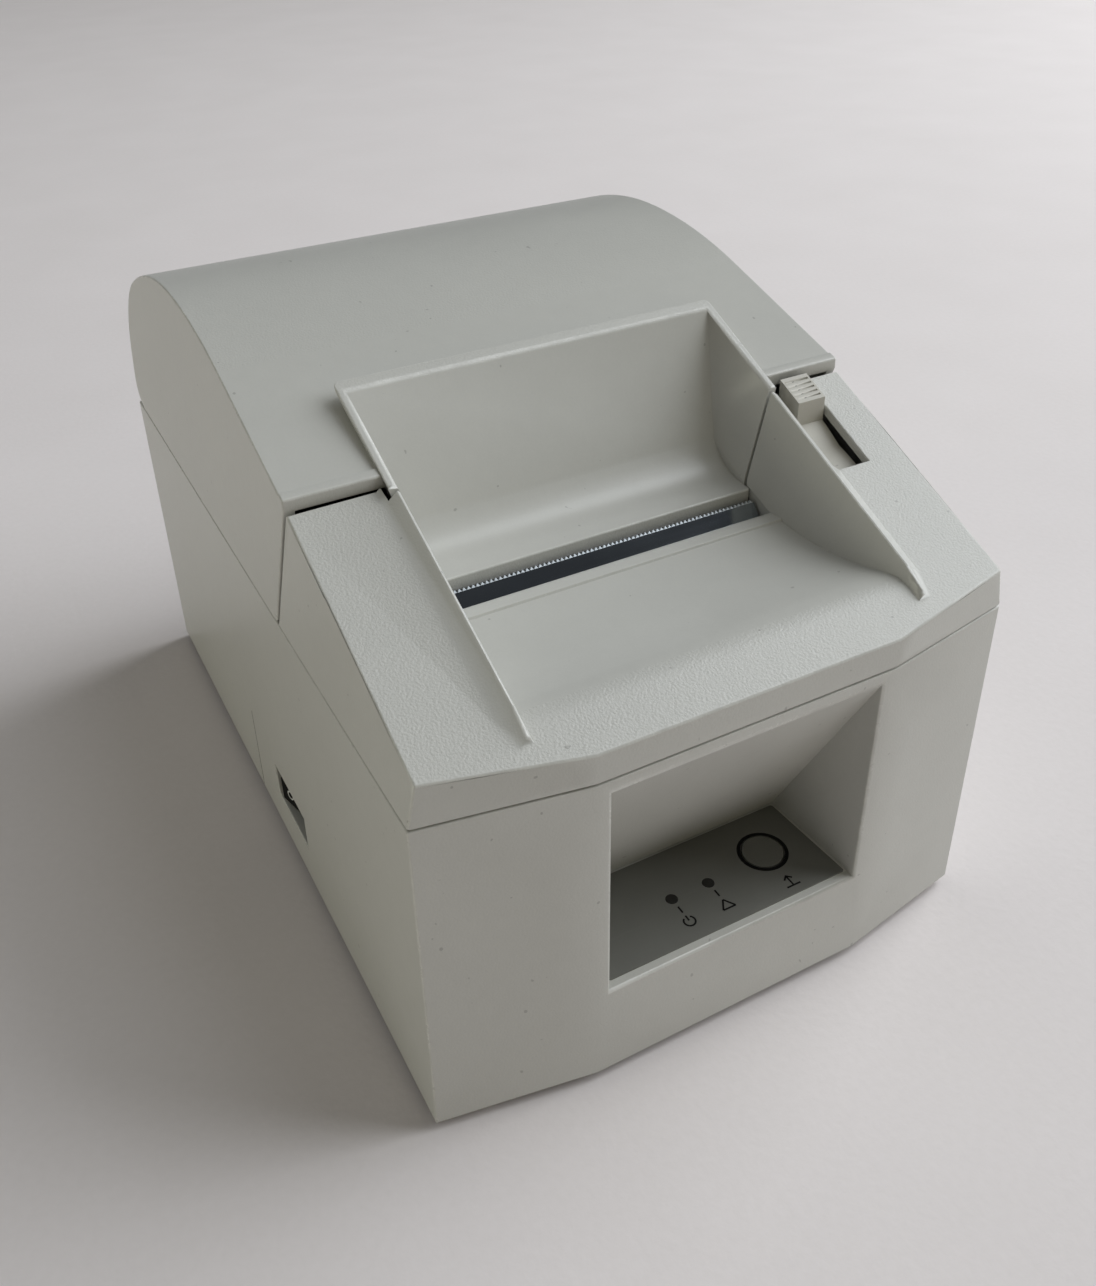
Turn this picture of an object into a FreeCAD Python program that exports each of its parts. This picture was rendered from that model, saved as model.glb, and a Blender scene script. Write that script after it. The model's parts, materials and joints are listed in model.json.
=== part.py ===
# Receipt printer: a parametric document with one object per sub-part, in millimetres.
# X points right, Y to the back and Z up; the origin is on the floor under the middle of the case.
import FreeCAD, Part
import Sketcher
import math
import os
import re

doc = FreeCAD.newDocument("receipt_printer")
sheet = doc.addObject("Spreadsheet::Sheet", "sizes")

# Driving dimensions
SIZES = {
    # Outside of the case
    "case_width": 147, "case_depth": 218, "case_taper": 1.0, "front_draft": 1.4, "foot_height": 2.5,
    "parting_height": 88.5, "facet_width": 73, "facet_setback": 6.3, "wall": 2.5, "cover_gap": 0.6,
    "groove_depth": 0.8,
    # Front cover
    "band_height": 7.7, "cover_slope": 0.408, "cover_inset": 2.2, "cover_edge": 3.5,
    "skirt_gap": 1.4, "ridge_height": 3.1, "ridge_width": 4.0, "ridge_start": 6.2,
    "ridge_lead": 6.0, "ridge_tip": 0.6,
    # Paper pocket, shared by the front cover and the rear cover
    "pocket_flare": 6.8, "pocket_rake": 0.32, "slot_side_gap": 0.6, "pocket_skin": 2.2,
    "scoop_start": 13.2, "slot_edge": 4.7, "scoop_height": 10.7, "scoop_radius": 75,
    "slot_front": 52.1, "slot_drop": 0.7, "seam_lean": 2.0, "seam_foot_height": 13.5,
    # Rear cover
    "lip_behind": 0.9, "lip_height": 37.3, "lip_thick": 2.0, "lid_slope": 0.283, "lid_inset": 1.9,
    "crest_from_rear": 67.6, "lid_front_radius": 143, "lid_corner_rise": 3.1,
    "lid_corner_radius": 36, "skirt_behind": 13.6, "hinge_inset": 7.0, "hinge_rise": 1.0,
    "slot_open": 6.7, "pocket_lip_height": 13.8, "lip_depth": 3.8, "lip_floor": 4.2,
    "pocket_bend_radius": 14.5, "pocket_bend_run": 12.5, "pocket_wall_foot_height": 21.3,
    "pocket_wall_run": 15.2, "pocket_back_height": 48.5, "lug_from_side": 11.5, "lug_web": 14.0,
    "lug_thick": 4, "ear_side_gap": 1.0, "ear_thick": 4, "hinge_pin_radius": 2.0, "ear_radius": 4.0,
    "running_gap": 0.05, "free_gap": 0.3, "holder_screw_at": 30.0, "holder_screw_back": 8.0,
    "holder_boss_radius": 3.4, "holder_boss_height": 7.4, "holder_hole_depth": 5.0,
    "holder_thick": 1.2, "holder_front": 5.5, "holder_back": 12.0, "holder_ear": 4.4,
    # Control panel
    "recess_half": 33.3, "recess_back_half": 31.6, "recess_step": 0.3, "recess_top_gap": 2.9,
    "recess_depth": 28.3, "recess_skin": 2.0, "panel_height": 28.7, "label_thick": 0.3,
    "label_margin": 0.8, "power_led_at": -8.1, "error_led_at": 2.1, "led_from_face": 13.8,
    "led_radius": 1.5, "feed_at": 19.2, "feed_from_face": 15.6, "feed_radius": 5.0,
    "feed_travel": 0.6, "feed_rise": 0.1, "feed_flange": 1.2, "feed_flange_thick": 0.9,
    "feed_stem_radius": 1.5, "panel_board_drop": 9.7, "board_thick": 1.6, "feed_switch_size": 6.0,
    "panel_board_depth": 22, "panel_board_left": -18, "panel_board_right": 30,
    "panel_board_inset": 2.6,
    # Power switch on the left side
    "switch_from_face": 97.1, "switch_height": 19.5, "switch_end_room": 2.05,
    "switch_side_room": 0.35, "switch_pocket_depth": 3.5, "rocker_length": 17.4, "rocker_tall": 7.6,
    "rocker_rise": 3.5, "rocker_tilt": 9.0, "rocker_depth": 3.0, "rocker_dip": 0.7,
    "rocker_pivot_drop": 1.6, "switch_body_depth": 15.0, "switch_rim": 1.0,
    "rocker_pin_radius": 1.0, "rocker_pin_reach": 0.7,
    # Bottom
    "plate_thick": 1.5, "fit_gap": 0.3, "foot_radius": 6.0, "foot_side_inset": 13.0,
    "foot_end_inset": 16.0, "boss_size": 8.0, "boss_height": 16.0, "boss_from_front": 50,
    "boss_from_back": 30, "screw_radius": 1.5, "screw_head_radius": 2.8, "screw_head_thick": 1.4,
    "screw_length": 7.0, "seam_from_face": 127.4, "seam_high": 30.0, "seam_wide": 0.5,
    "seam_depth": 0.4,
    # Print mechanism
    "sheet_thick": 1.5, "frame_ahead": 19.8, "frame_behind": 24.6, "motor_clear": 6.2,
    "frame_rise": 3.0, "frame_back_drop": 14.0, "frame_shoulder": 5.6, "frame_front_drop": 2.0,
    "post_radius": 4.0, "platen_behind_slot": 15.3, "platen_top_gap": 0.4, "platen_radius": 6.5,
    "platen_half": 39.0, "shaft_radius": 2.0, "bush_radius": 3.2, "ear_gap": 0.4, "hook_gap": 1.0,
    "hook_thick": 1.5, "gear_gap": 0.4, "gear_width": 2.4, "gear_module": 0.5, "platen_teeth": 22,
    "idler_teeth": 50, "pinion_teeth": 12, "gear_backlash": 0.08, "gear_center_gap": 0.06,
    "pressure_angle": 20, "idler_lean": 14.5, "motor_lean": 31.0, "motor_radius": 15.0,
    "motor_length": 22.0, "motor_shaft_radius": 1.5, "motor_boss_radius": 5.0,
    "motor_bearing_depth": 4.0, "post_head_radius": 3.4, "post_head_thick": 1.0,
    "head_overhang": 1.0, "head_thick": 1.0, "head_step": 2.0, "head_rise": 5.0,
    "heatsink_thick": 6.0, "head_over_latch": 4.0, "head_pivot_rise": 3.0, "head_pin_radius": 1.5,
    "bar_ahead": 20.2, "bar_tall": 8.0, "bar_bend_drop": 10.5, "bar_thick": 1.2,
    "head_spring_radius": 2.5, "head_spring_at": 26.0, "head_spring_drop": 6.0, "spring_gap": 0.8,
    "spring_wire": 0.6,
    # Tear bar
    "tear_behind_slot": 4.7, "tear_rise": 1.3, "tear_tilt": 50.0, "tear_width": 9.6,
    "tear_thick": 0.8, "tooth_pitch": 1.1, "tooth_height": 0.8, "tear_screw_at": 34.0,
    "tear_screw_down": 7.2, "tear_screw_radius": 1.0, "tear_screw_length": 2.4,
    "tear_head_radius": 1.8, "tear_head_thick": 0.6, "flange_start": 2.8,
    # Latch and lever
    "latch_ahead": 6.8, "latch_height": 71.0, "latch_radius": 2.0, "hook_boss": 4.0,
    "hook_arm": 5.2, "hook_tip": 3.0, "hook_reach": 0.6, "lever_wide": 7.8, "lever_gap": 0.4,
    "lever_slot_wide": 10.6, "lever_room": 16.7, "knob_long": 7.6, "knob_ahead": 2.0,
    "knob_rise": 2.6, "skirt_top_gap": 1.3, "lever_skirt_thick": 1.6, "lever_skirt_lead": 27.0,
    "lever_arm_thick": 3.0, "lever_arm_wide": 9.0, "lever_hub_radius": 4.5, "lever_skirt_wide": 8.4,
    "skirt_side_gap": 1.6, "lever_skirt_tail": 4.0, "lever_hub_half": 3.5,
    "lever_spring_radius": 3.4, "lever_spring_length": 6.0,
    # Roll bin and boards
    "bin_back_gap": 8.5, "bin_rim_rise": 10.0, "bin_radius": 43.0, "bin_wall": 2.0,
    "roll_side_gap": 2.5, "bin_rim_drop": 2.5, "guide_gap": 2.1, "guide_drop": 9.0,
    "bin_pillar": 10.0, "board_switch_gap": 8.0, "board_side_gap": 2.0, "board_from_frame": 6.0,
    "board_from_rear": 12.6, "standoff_height": 8.0, "standoff_radius": 3.0, "standoff_inset": 6.0,
    "chip_size": 14.0, "chip_thick": 2.0, "capacitor_radius": 5.0, "capacitor_height": 12.0,
    "panel_floor_gap": 1.0, "port_top_gap": 1.9, "port_half": 58.0, "panel_sheet": 1.2,
    "panel_overlap": 3.0, "inlet_screw_gap": 4.7, "inlet_size": 13.0, "inlet_tall": 12.0,
    "drawer_gap": 8.5, "drawer_size": 14.0, "drawer_tall": 12.5, "interface_gap": 26.75,
    "interface_size": 12.5, "interface_tall": 11.5, "port_depth": 17.0, "port_wall": 1.2,
    "socket_depth": 10.0, "port_stand_out": 0.8, "contact_radius": 0.8, "contact_pitch": 2.4,
    "contact_back": 2.4, "tongue_thick": 2.6, "tongue_back": 2.4, "drawer_tongue": 3.6,
    "interface_tongue": 2.7, "sensor_size": 7.0, "sensor_tall": 4.0,
}

# Sizes and places that follow from others and a named clearance
FITS = {
    # Paper slot, and the row of pieces behind it
    "slot_half": "tear_half + slot_side_gap", "pocket_half": "slot_half + pocket_flare",
    "scoop_end": "slot_front - slot_edge", "pocket_lip": "slot_front + slot_open",
    "seam_foot": "pocket_lip + pocket_skin", "seam_top": "seam_foot + seam_lean",
    "cover_back": "seam_top + cover_edge", "lip_start": "cover_back + lip_behind",
    "skirt_front": "lip_start + skirt_behind", "cover_foot_back": "skirt_front - skirt_gap",
    "pocket_floor_end": "pocket_lip + lip_floor",
    "pocket_wall_foot": "pocket_floor_end + pocket_bend_run",
    "pocket_back": "pocket_wall_foot + pocket_wall_run",
    # Rear cover and hinge
    "rear_from_face": "case_depth - front_draft", "lid_crest": "rear_from_face - crest_from_rear",
    "lid_run": "lid_front_radius*sin(atan(lid_slope))",
    "crest_rise": "lid_slope*(lid_crest - lip_start - lid_run) + lid_front_radius*(1 - cos(atan(lid_slope)))",
    "crest_height": "parting_height + lip_height + crest_rise",
    "hinge_height": "parting_height + hinge_inset + hinge_rise",
    "corner_reach": "crest_from_rear - lid_corner_radius",
    "corner_drop": "crest_height - hinge_height - lid_corner_rise",
    "lug_inner": "case_width/2 - case_taper - lug_from_side - lug_thick",
    "ear_inner": "lug_inner - ear_side_gap - ear_thick",
    # Control panel and power switch
    "recess_low": "panel_height - recess_step", "recess_high": "parting_height - recess_top_gap",
    "panel_board_height": "panel_height - panel_board_drop",
    "switch_length": "rocker_length + switch_rim*2 + switch_end_room*2",
    "switch_tall": "rocker_tall + switch_rim*2 + switch_side_room*2",
    # Print mechanism, around the platen
    "platen_from_face": "slot_front + platen_behind_slot",
    "holder_top": "parting_height + pocket_lip_height - pocket_skin",
    "platen_height": "holder_top - holder_thick - platen_top_gap - platen_radius",
    "frame_half": "platen_half + ear_gap*2 + sheet_thick",
    "frame_front": "platen_from_face - frame_ahead", "frame_back": "platen_from_face + frame_behind",
    "idler_reach": "gear_module*(platen_teeth + idler_teeth)/2 + gear_center_gap",
    "motor_reach": "gear_module*(idler_teeth + pinion_teeth)/2 + gear_center_gap",
    "idler_height": "platen_height - idler_reach*cos(idler_lean)",
    "motor_height": "idler_height - motor_reach*cos(motor_lean)",
    "frame_low": "motor_height - motor_radius - motor_clear", "frame_high": "platen_height + frame_rise",
    "frame_back_high": "platen_height - frame_back_drop",
    "frame_front_high": "platen_height - frame_front_drop",
    "head_half": "platen_half + head_overhang", "head_high": "platen_height + head_rise",
    "heatsink_low": "latch_height + latch_radius + head_over_latch", "heatsink_high": "platen_height",
    "head_low": "heatsink_low + head_step", "head_pivot_height": "heatsink_low + head_pivot_rise",
    "head_spring_height": "heatsink_high - head_spring_drop",
    "tear_half": "head_half", "tear_from_face": "slot_front + tear_behind_slot",
    "tear_height": "parting_height + scoop_height + tear_rise",
    "bar_from_face": "platen_from_face - bar_ahead", "bar_bend": "tear_height - bar_bend_drop",
    "bar_low": "bar_bend - bar_tall",
    # Latch and lever
    "latch_from_face": "platen_from_face - latch_ahead", "lever_slot_left": "pocket_half + pocket_skin",
    "lever_slot_right": "lever_slot_left + lever_slot_wide", "lever_right": "lever_slot_right - lever_gap",
    "lever_left": "lever_right - lever_wide", "lever_skirt_right": "lever_slot_right - skirt_side_gap",
    "lever_skirt_left": "lever_skirt_right - lever_skirt_wide", "knob_back": "lip_start - knob_ahead",
    "knob_front": "knob_back - knob_long", "lever_slot_front": "knob_front - lever_room",
    "cover_under": "wall*sqrt(1 + cover_slope*cover_slope) + skirt_top_gap",
    "skirt_top": "parting_height + band_height + cover_slope*lever_slot_front - cover_under",
    "lever_skirt_radius": "(skirt_top - latch_height)/cos(lever_skirt_lead)",
    # Roll bin, boards and sockets
    "bin_from_face": "rear_from_face - wall - bin_back_gap - bin_wall - bin_radius",
    "bin_rim": "parting_height - bin_rim_drop", "bin_height": "bin_rim - bin_rim_rise",
    "bin_half": "platen_half + roll_side_gap", "guide_front": "platen_from_face + platen_radius + guide_gap",
    "guide_front_height": "platen_height - guide_drop",
    "main_board_left": "-(case_width/2 - switch_pocket_depth - switch_body_depth - board_switch_gap)",
    "main_board_right": "case_width/2 - case_taper - wall - boss_size - board_side_gap",
    "main_board_front": "frame_back + board_from_frame",
    "main_board_back": "rear_from_face - board_from_rear",
    "main_board_height": "foot_height + plate_thick + standoff_height",
    "port_low": "foot_height + plate_thick + panel_overlap + panel_floor_gap",
    "port_high": "main_board_height + board_thick + drawer_tall + port_top_gap",
    "panel_screw_at": "port_half - panel_overlap*2",
    "inlet_at": "-(panel_screw_at - screw_head_radius - inlet_screw_gap - inlet_size/2)",
    "drawer_at": "inlet_at + inlet_size/2 + drawer_gap + drawer_size/2",
    "interface_at": "drawer_at + drawer_size/2 + interface_gap + interface_size/2",
}
for row, (alias, number) in enumerate(SIZES.items(), 1):
    sheet.set("A%d" % row, alias)
    sheet.set("B%d" % row, str(number))
    sheet.setAlias("B%d" % row, alias)
doc.recompute()

# Words of an expression that are not sizes
FUNCTIONS = {"sin", "cos", "tan", "atan", "sqrt", "pow", "acos", "asin"}


def bound(text):
    """Turns size names into references to the sheet, and fitted ones into what they follow from."""
    def refer(match):
        word = match[0]
        if word in FITS:
            return "(%s)" % bound(FITS[word])
        return word if word in FUNCTIONS else "sizes." + word

    return re.sub(r"[a-z][a-z_0-9]*", refer, str(text))


def value(text):
    """The number that an expression of sizes gives now."""
    number = sheet.evalExpression(bound(text))
    return float(getattr(number, "Value", number))


def bind(thing, **expressions):
    for name, text in expressions.items():
        thing.setExpression(name.replace("__", "."), bound(text))
    return thing


def place(thing, x, y, z):
    return bind(thing, Placement__Base__x=x, Placement__Base__y=y, Placement__Base__z=z)


def box(name, low, high):
    """A block between two corners."""
    block = doc.addObject("Part::Box", name)
    spans = ["(%s) - (%s)" % (b, a) for a, b in zip(low, high)]
    bind(block, Length=spans[0], Width=spans[1], Height=spans[2])
    return place(block, *low)


TURNS = {
    "X": FreeCAD.Rotation(FreeCAD.Vector(0, 1, 0), 90),
    "Y": FreeCAD.Rotation(FreeCAD.Vector(1, 0, 0), -90),
    "Z": FreeCAD.Rotation(),
}


def turned(axis, angle):
    """A placement at the origin, turned about an axis."""
    return FreeCAD.Placement(FreeCAD.Vector(), FreeCAD.Rotation(FreeCAD.Vector(*axis), angle))


def extruded(name, corners, way):
    """A flat outline of many short edges, extruded along a vector."""
    whole = doc.addObject("Part::Feature", name)
    whole.Shape = Part.Face(Part.makePolygon(corners + corners[:1])).extrude(FreeCAD.Vector(*way))
    return whole


def rod(name, axis, start, radius, length):
    """A round bar that runs from a point along an axis."""
    bar = doc.addObject("Part::Cylinder", name)
    bar.Placement = FreeCAD.Placement(FreeCAD.Vector(), TURNS[axis])
    bind(bar, Radius=radius, Height=length)
    return place(bar, *start)


def fuse(name, *pieces):
    whole = doc.addObject("Part::MultiFuse", name)
    whole.Shapes = list(pieces)
    return whole


def cut(name, base, *tools):
    """The base less every tool."""
    whole = doc.addObject("Part::Cut", name)
    whole.Base = base
    whole.Tool = tools[0] if len(tools) == 1 else fuse(name + "_tools", *tools)
    return whole


def common(name, *pieces):
    whole = doc.addObject("Part::MultiCommon", name)
    whole.Shapes = list(pieces)
    return whole


def group(name, *pieces):
    """Separate solids kept together as one sub-part."""
    whole = doc.addObject("Part::Compound", name)
    whole.Links = list(pieces)
    return whole


def circle(across, up, radius):
    return ("circle", across, up, radius)


def draw_circle(sketch, across, up, radius):
    centre = FreeCAD.Vector(value(across), value(up), 0)
    edge = sketch.addGeometry(Part.Circle(centre, FreeCAD.Vector(0, 0, 1), value(radius)), False)
    for kind, text in (("DistanceX", across), ("DistanceY", up)):
        number = sketch.addConstraint(Sketcher.Constraint(kind, -1, 1, edge, 3, value(text)))
        sketch.setExpression("Constraints[%d]" % number, bound(text))
    number = sketch.addConstraint(Sketcher.Constraint("Radius", edge, value(radius)))
    sketch.setExpression("Constraints[%d]" % number, bound(radius))


def arc_between(first, last, radius, side):
    """An arc from first to last with its centre on the left (side 1) or right (side -1) of the way."""
    chord = last - first
    normal = FreeCAD.Vector(-chord.y, chord.x, 0).normalize()
    away = math.sqrt(radius ** 2 - (chord.Length / 2) ** 2)
    centre = (first + last) * 0.5 + normal * (away * side)
    way = (first, last) if side > 0 else (last, first)
    ends = [math.atan2(point.y - centre.y, point.x - centre.x) for point in way]
    return Part.ArcOfCircle(Part.Circle(centre, FreeCAD.Vector(0, 0, 1), radius), ends[0], ends[1])


def draw_outline(sketch, corners):
    """A closed outline; a corner with a radius and a side ends an arc instead of a line."""
    points = [FreeCAD.Vector(value(corner[0]), value(corner[1]), 0) for corner in corners]
    edges = []
    for number, corner in enumerate(corners):
        first, last = points[number - 1], points[number]
        if len(corner) == 4:
            edge = sketch.addGeometry(arc_between(first, last, value(corner[2]), corner[3]), False)
            edges.append((edge, 1, 2) if corner[3] > 0 else (edge, 2, 1))
        else:
            edges.append((sketch.addGeometry(Part.LineSegment(first, last), False), 1, 2))
    for number, corner in enumerate(corners):
        edge, start, end = edges[number]
        following, next_start = edges[(number + 1) % len(edges)][:2]
        sketch.addConstraint(Sketcher.Constraint("Coincident", edge, end, following, next_start))
        for kind, text in (("DistanceX", corner[0]), ("DistanceY", corner[1])):
            datum = sketch.addConstraint(Sketcher.Constraint(kind, -1, 1, edge, end, value(text)))
            sketch.setExpression("Constraints[%d]" % datum, bound(text))
        if len(corner) == 4:
            datum = sketch.addConstraint(Sketcher.Constraint("Radius", edge, value(corner[2])))
            sketch.setExpression("Constraints[%d]" % datum, bound(corner[2]))


def draw(sketch, loops):
    for loop in loops:
        if loop[0] == "circle":
            draw_circle(sketch, *loop[1:])
        else:
            draw_outline(sketch, loop)


def prism(name, plane, loops, start, end):
    """A padded body: outlines in plane XY, XZ or YZ, from start to end along the third axis."""
    body = doc.addObject("PartDesign::Body", name)
    sketch = body.newObject("Sketcher::SketchObject", name + "_sketch")
    origin = [feature for feature in body.Origin.OriginFeatures if feature.Role == plane + "_Plane"]
    sketch.AttachmentSupport = [(origin[0], "")]
    sketch.MapMode = "FlatFace"
    bind(sketch, AttachmentOffset__Base__z="-(%s)" % end if plane == "XZ" else start)
    draw(sketch, loops)
    pad = body.newObject("PartDesign::Pad", name + "_pad")
    pad.Profile = sketch
    bind(pad, Length="(%s) - (%s)" % (end, start))
    return body


def level_section(name, corners, height):
    """An outline at a height, for a loft."""
    sketch = doc.addObject("Sketcher::SketchObject", name)
    bind(sketch, Placement__Base__z=height)
    draw_outline(sketch, corners)
    return sketch


def loft(name, *sections):
    body = doc.addObject("Part::Loft", name)
    body.Sections = list(sections)
    body.Solid = True
    body.Ruled = True
    return body


def mirrored(corners):
    """Corners on the right, then the same ones on the left in reverse."""
    return corners + [("-(%s)" % corner[0], corner[1]) for corner in reversed(corners)]


def two_sides(make, name):
    """The same piece on the left (-1) and on the right (1)."""
    return [make("%s_%s" % (name, word), side) for word, side in (("left", -1), ("right", 1))]


def sided(text, side):
    """A distance from the middle as an X on one side."""
    return text if side > 0 else "-(%s)" % text


def span(side, inner, outer):
    """Low and high X of something between two distances from the middle, on one side."""
    if side > 0:
        return inner, outer
    return "-(%s)" % outer, "-(%s)" % inner


# Places that many sub-parts share
HALF = "case_width/2"
TOP_HALF = "(case_width/2 - case_taper)"
FRONT = "(-case_depth/2)"
FACE = "(-case_depth/2 + front_draft)"
REAR = "(case_depth/2)"


def from_face(text):
    """Y of a distance back from the front face."""
    return "(-case_depth/2 + front_draft + %s)" % text


def cover_top(text, rise="0"):
    """Z of the front cover's top plane at a distance back from the front face."""
    return "(parting_height + band_height + cover_slope*(%s) + %s)" % (text, rise)


def pocket_top(text):
    """Z of the plane of the ridges and of the pocket rim."""
    return cover_top(text, "ridge_height")


def case_outline(half, front, setback, back):
    corners = [("facet_width/2", front), (half, "%s + %s" % (front, setback)), (half, back)]
    return mirrored(corners)


# Paper pocket: a trough with raked sides that follows the slope of the front cover
def trough(name, extra):
    """The pocket's sides as a long solid, wider by extra on each side."""
    sketch = doc.addObject("Sketcher::SketchObject", name + "_sketch")
    sketch.Placement = turned((1, 0, 0), 90)
    bind(sketch, Placement__Base__y=FACE, Placement__Base__z=pocket_top("0"))
    bend = "(slot_half - pocket_half)/pocket_rake"
    reach = "case_depth"
    sides = [("slot_half + %s" % extra, "-" + reach), ("slot_half + %s" % extra, bend),
             ("pocket_half + %s + pocket_rake*ridge_height*3" % extra, "ridge_height*3")]
    draw_outline(sketch, mirrored(sides))
    body = doc.addObject("Part::Extrusion", name)
    body.Base = sketch
    body.DirMode = "Custom"
    body.Dir = FreeCAD.Vector(0, 1, 0)
    body.Solid = True
    return bind(body, Dir__z="cover_slope", LengthFwd="case_depth")


def seam(height, gap):
    """Y of the seam between the two covers inside the pocket, moved back by gap."""
    lean = "(seam_top - seam_foot)/(%s - parting_height - seam_foot_height)" % pocket_top("seam_top")
    return from_face("seam_foot + %s*(%s - parting_height - seam_foot_height) + %s" % (lean, height, gap))


SEAM_LOW = "(parting_height - wall)"


# Lower case
def make_lower_case():
    outer = loft(
        "case_outer",
        level_section("case_outer_low", case_outline(HALF, FRONT, "facet_setback", REAR), "foot_height"),
        level_section("case_outer_high", case_outline(TOP_HALF, FACE, "facet_setback", REAR),
                      "parting_height"))
    inner = loft(
        "case_inner",
        level_section("case_inner_low", case_outline(
            "%s - wall" % HALF, "%s + wall" % FRONT, "facet_setback", "%s - wall" % REAR), "foot_height"),
        level_section("case_inner_high", case_outline(
            "%s - wall" % TOP_HALF, "%s + wall" % FACE, "facet_setback", "%s - wall" % REAR),
            "parting_height"))
    walls = cut("case_walls", outer, inner)

    def recess(name, skin, front):
        """The control-panel recess, or its skin: a wedge that narrows to the back."""
        slope = "(recess_high - panel_height)/recess_depth"
        over = "%s*sqrt(1 + pow(1/(%s); 2))" % (skin, slope)
        side = prism(name + "_side", "YZ", [[
            (front, "recess_low - %s" % skin),
            (from_face("recess_depth + %s" % over), "recess_low - %s" % skin),
            (from_face("recess_depth + %s" % over), "panel_height"),
            (front, "panel_height + %s*(%s - %s)" % (slope, from_face("recess_depth + %s" % over), front)),
        ]], "-%s" % HALF, HALF)
        taper = "(recess_half - recess_back_half)/recess_depth"
        plan = prism(name + "_plan", "XY", [mirrored([
            ("recess_half + %s - %s*(%s - %s)" % (skin, taper, front, FACE), front),
            ("recess_back_half + %s" % skin, from_face("recess_depth + %s" % skin)),
        ])], "0", "parting_height")
        return common(name, side, plan)

    recess_skin = recess("recess_skin", "recess_skin", from_face("wall/2"))
    recess_space = recess("recess_space", "0", "(%s - wall)" % FRONT)
    floor = box("panel_floor",
                ("-recess_half", from_face("wall/2"), "panel_height - recess_skin"),
                ("recess_half", from_face("recess_depth"), "panel_height"))
    hole_low, hole_length = "panel_height - recess_skin*2", "recess_skin*2 + label_thick"
    feed_hole = rod("feed_hole", "Z", ("feed_at", from_face("feed_from_face"), hole_low),
                    "feed_radius + free_gap",
                    hole_length)
    led_holes = [rod(name, "Z", (at, from_face("led_from_face"), hole_low), "led_radius", hole_length)
                 for name, at in (("power_led_hole", "power_led_at"), ("error_led_hole", "error_led_at"))]

    pocket_half = "switch_length/2"
    pocket_tall = "switch_tall/2"
    depth = "%s + case_taper - switch_pocket_depth" % TOP_HALF
    switch_skin = box("switch_skin",
                      ("-(%s)" % depth, from_face("switch_from_face - %s - wall" % pocket_half),
                       "switch_height - %s - wall" % pocket_tall),
                      ("-(%s - wall)" % depth, from_face("switch_from_face + %s + wall" % pocket_half),
                       "switch_height + %s + wall" % pocket_tall))
    switch_rim = box("switch_rim_block",
                     ("-(%s - wall/2)" % TOP_HALF, from_face("switch_from_face - %s - wall" % pocket_half),
                      "switch_height - %s - wall" % pocket_tall),
                     ("-(%s)" % depth, from_face("switch_from_face + %s + wall" % pocket_half),
                      "switch_height + %s + wall" % pocket_tall))
    switch_space = box("switch_space",
                       ("-case_width", from_face("switch_from_face - %s" % pocket_half),
                        "switch_height - %s" % pocket_tall),
                       ("-(%s)" % depth, from_face("switch_from_face + %s" % pocket_half),
                        "switch_height + %s" % pocket_tall))
    rocker_hole = box("rocker_hole",
                      ("-case_width", from_face("switch_from_face - rocker_length/2 - switch_rim"),
                       "switch_height - rocker_tall/2 - switch_rim"),
                      ("-case_width/4", from_face("switch_from_face + rocker_length/2 + switch_rim"),
                       "switch_height + rocker_tall/2 + switch_rim"))

    def boss(name, side):
        """Blocks on the side walls that take the bottom screws."""
        low, high = span(side, "%s - wall - boss_size" % TOP_HALF, "%s - wall/2" % TOP_HALF)
        blocks = []
        for place_name, middle in (("front", from_face("boss_from_front")),
                                   ("back", "%s - boss_from_back" % REAR)):
            blocks.append(box("%s_%s" % (name, place_name),
                              (low, "%s - boss_size/2" % middle, "foot_height + plate_thick"),
                              (high, "%s + boss_size/2" % middle,
                               "foot_height + plate_thick + boss_height")))
        return fuse(name, *blocks)

    def boss_holes(name, side):
        low, high = span(side, "%s - wall - boss_size/2" % TOP_HALF, HALF)
        across = low if side > 0 else high
        return fuse(name, *[
            rod("%s_%s" % (name, place_name), "Z", (across, middle, "foot_height"), "screw_radius",
                "screw_length + plate_thick")
            for place_name, middle in (("front", from_face("boss_from_front")),
                                       ("back", "%s - boss_from_back" % REAR))])

    def ear(name, side):
        """The lug of the case that holds a hinge pin."""
        low, high = span(side, "ear_inner", "ear_inner + ear_thick")
        axis = "(%s - hinge_inset)" % REAR
        return prism(name, "YZ", [[
            ("%s - ear_radius" % axis, "parting_height - boss_height"),
            ("%s - wall/2" % REAR, "parting_height - boss_height"),
            ("%s - wall/2" % REAR, "parting_height - wall"),
            ("%s + ear_radius" % axis, "parting_height - wall"),
            ("%s + ear_radius" % axis, "hinge_height"),
            (axis, "hinge_height + ear_radius", "ear_radius", 1),
            ("%s - ear_radius" % axis, "hinge_height", "ear_radius", 1),
        ], circle(axis, "hinge_height", "hinge_pin_radius")], low, high)

    def panel_post(name, side):
        """A post that holds the panel board under the recess."""
        across = "panel_board_right - feed_flange*2" if side > 0 else "panel_board_left + feed_flange*2"
        top = "panel_board_height + board_thick"
        return rod(name, "Z",
                   (across, from_face("panel_board_inset + panel_board_depth - feed_switch_size"), top),
                   "feed_stem_radius", "recess_low - recess_skin/2 - (%s)" % top)

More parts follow.
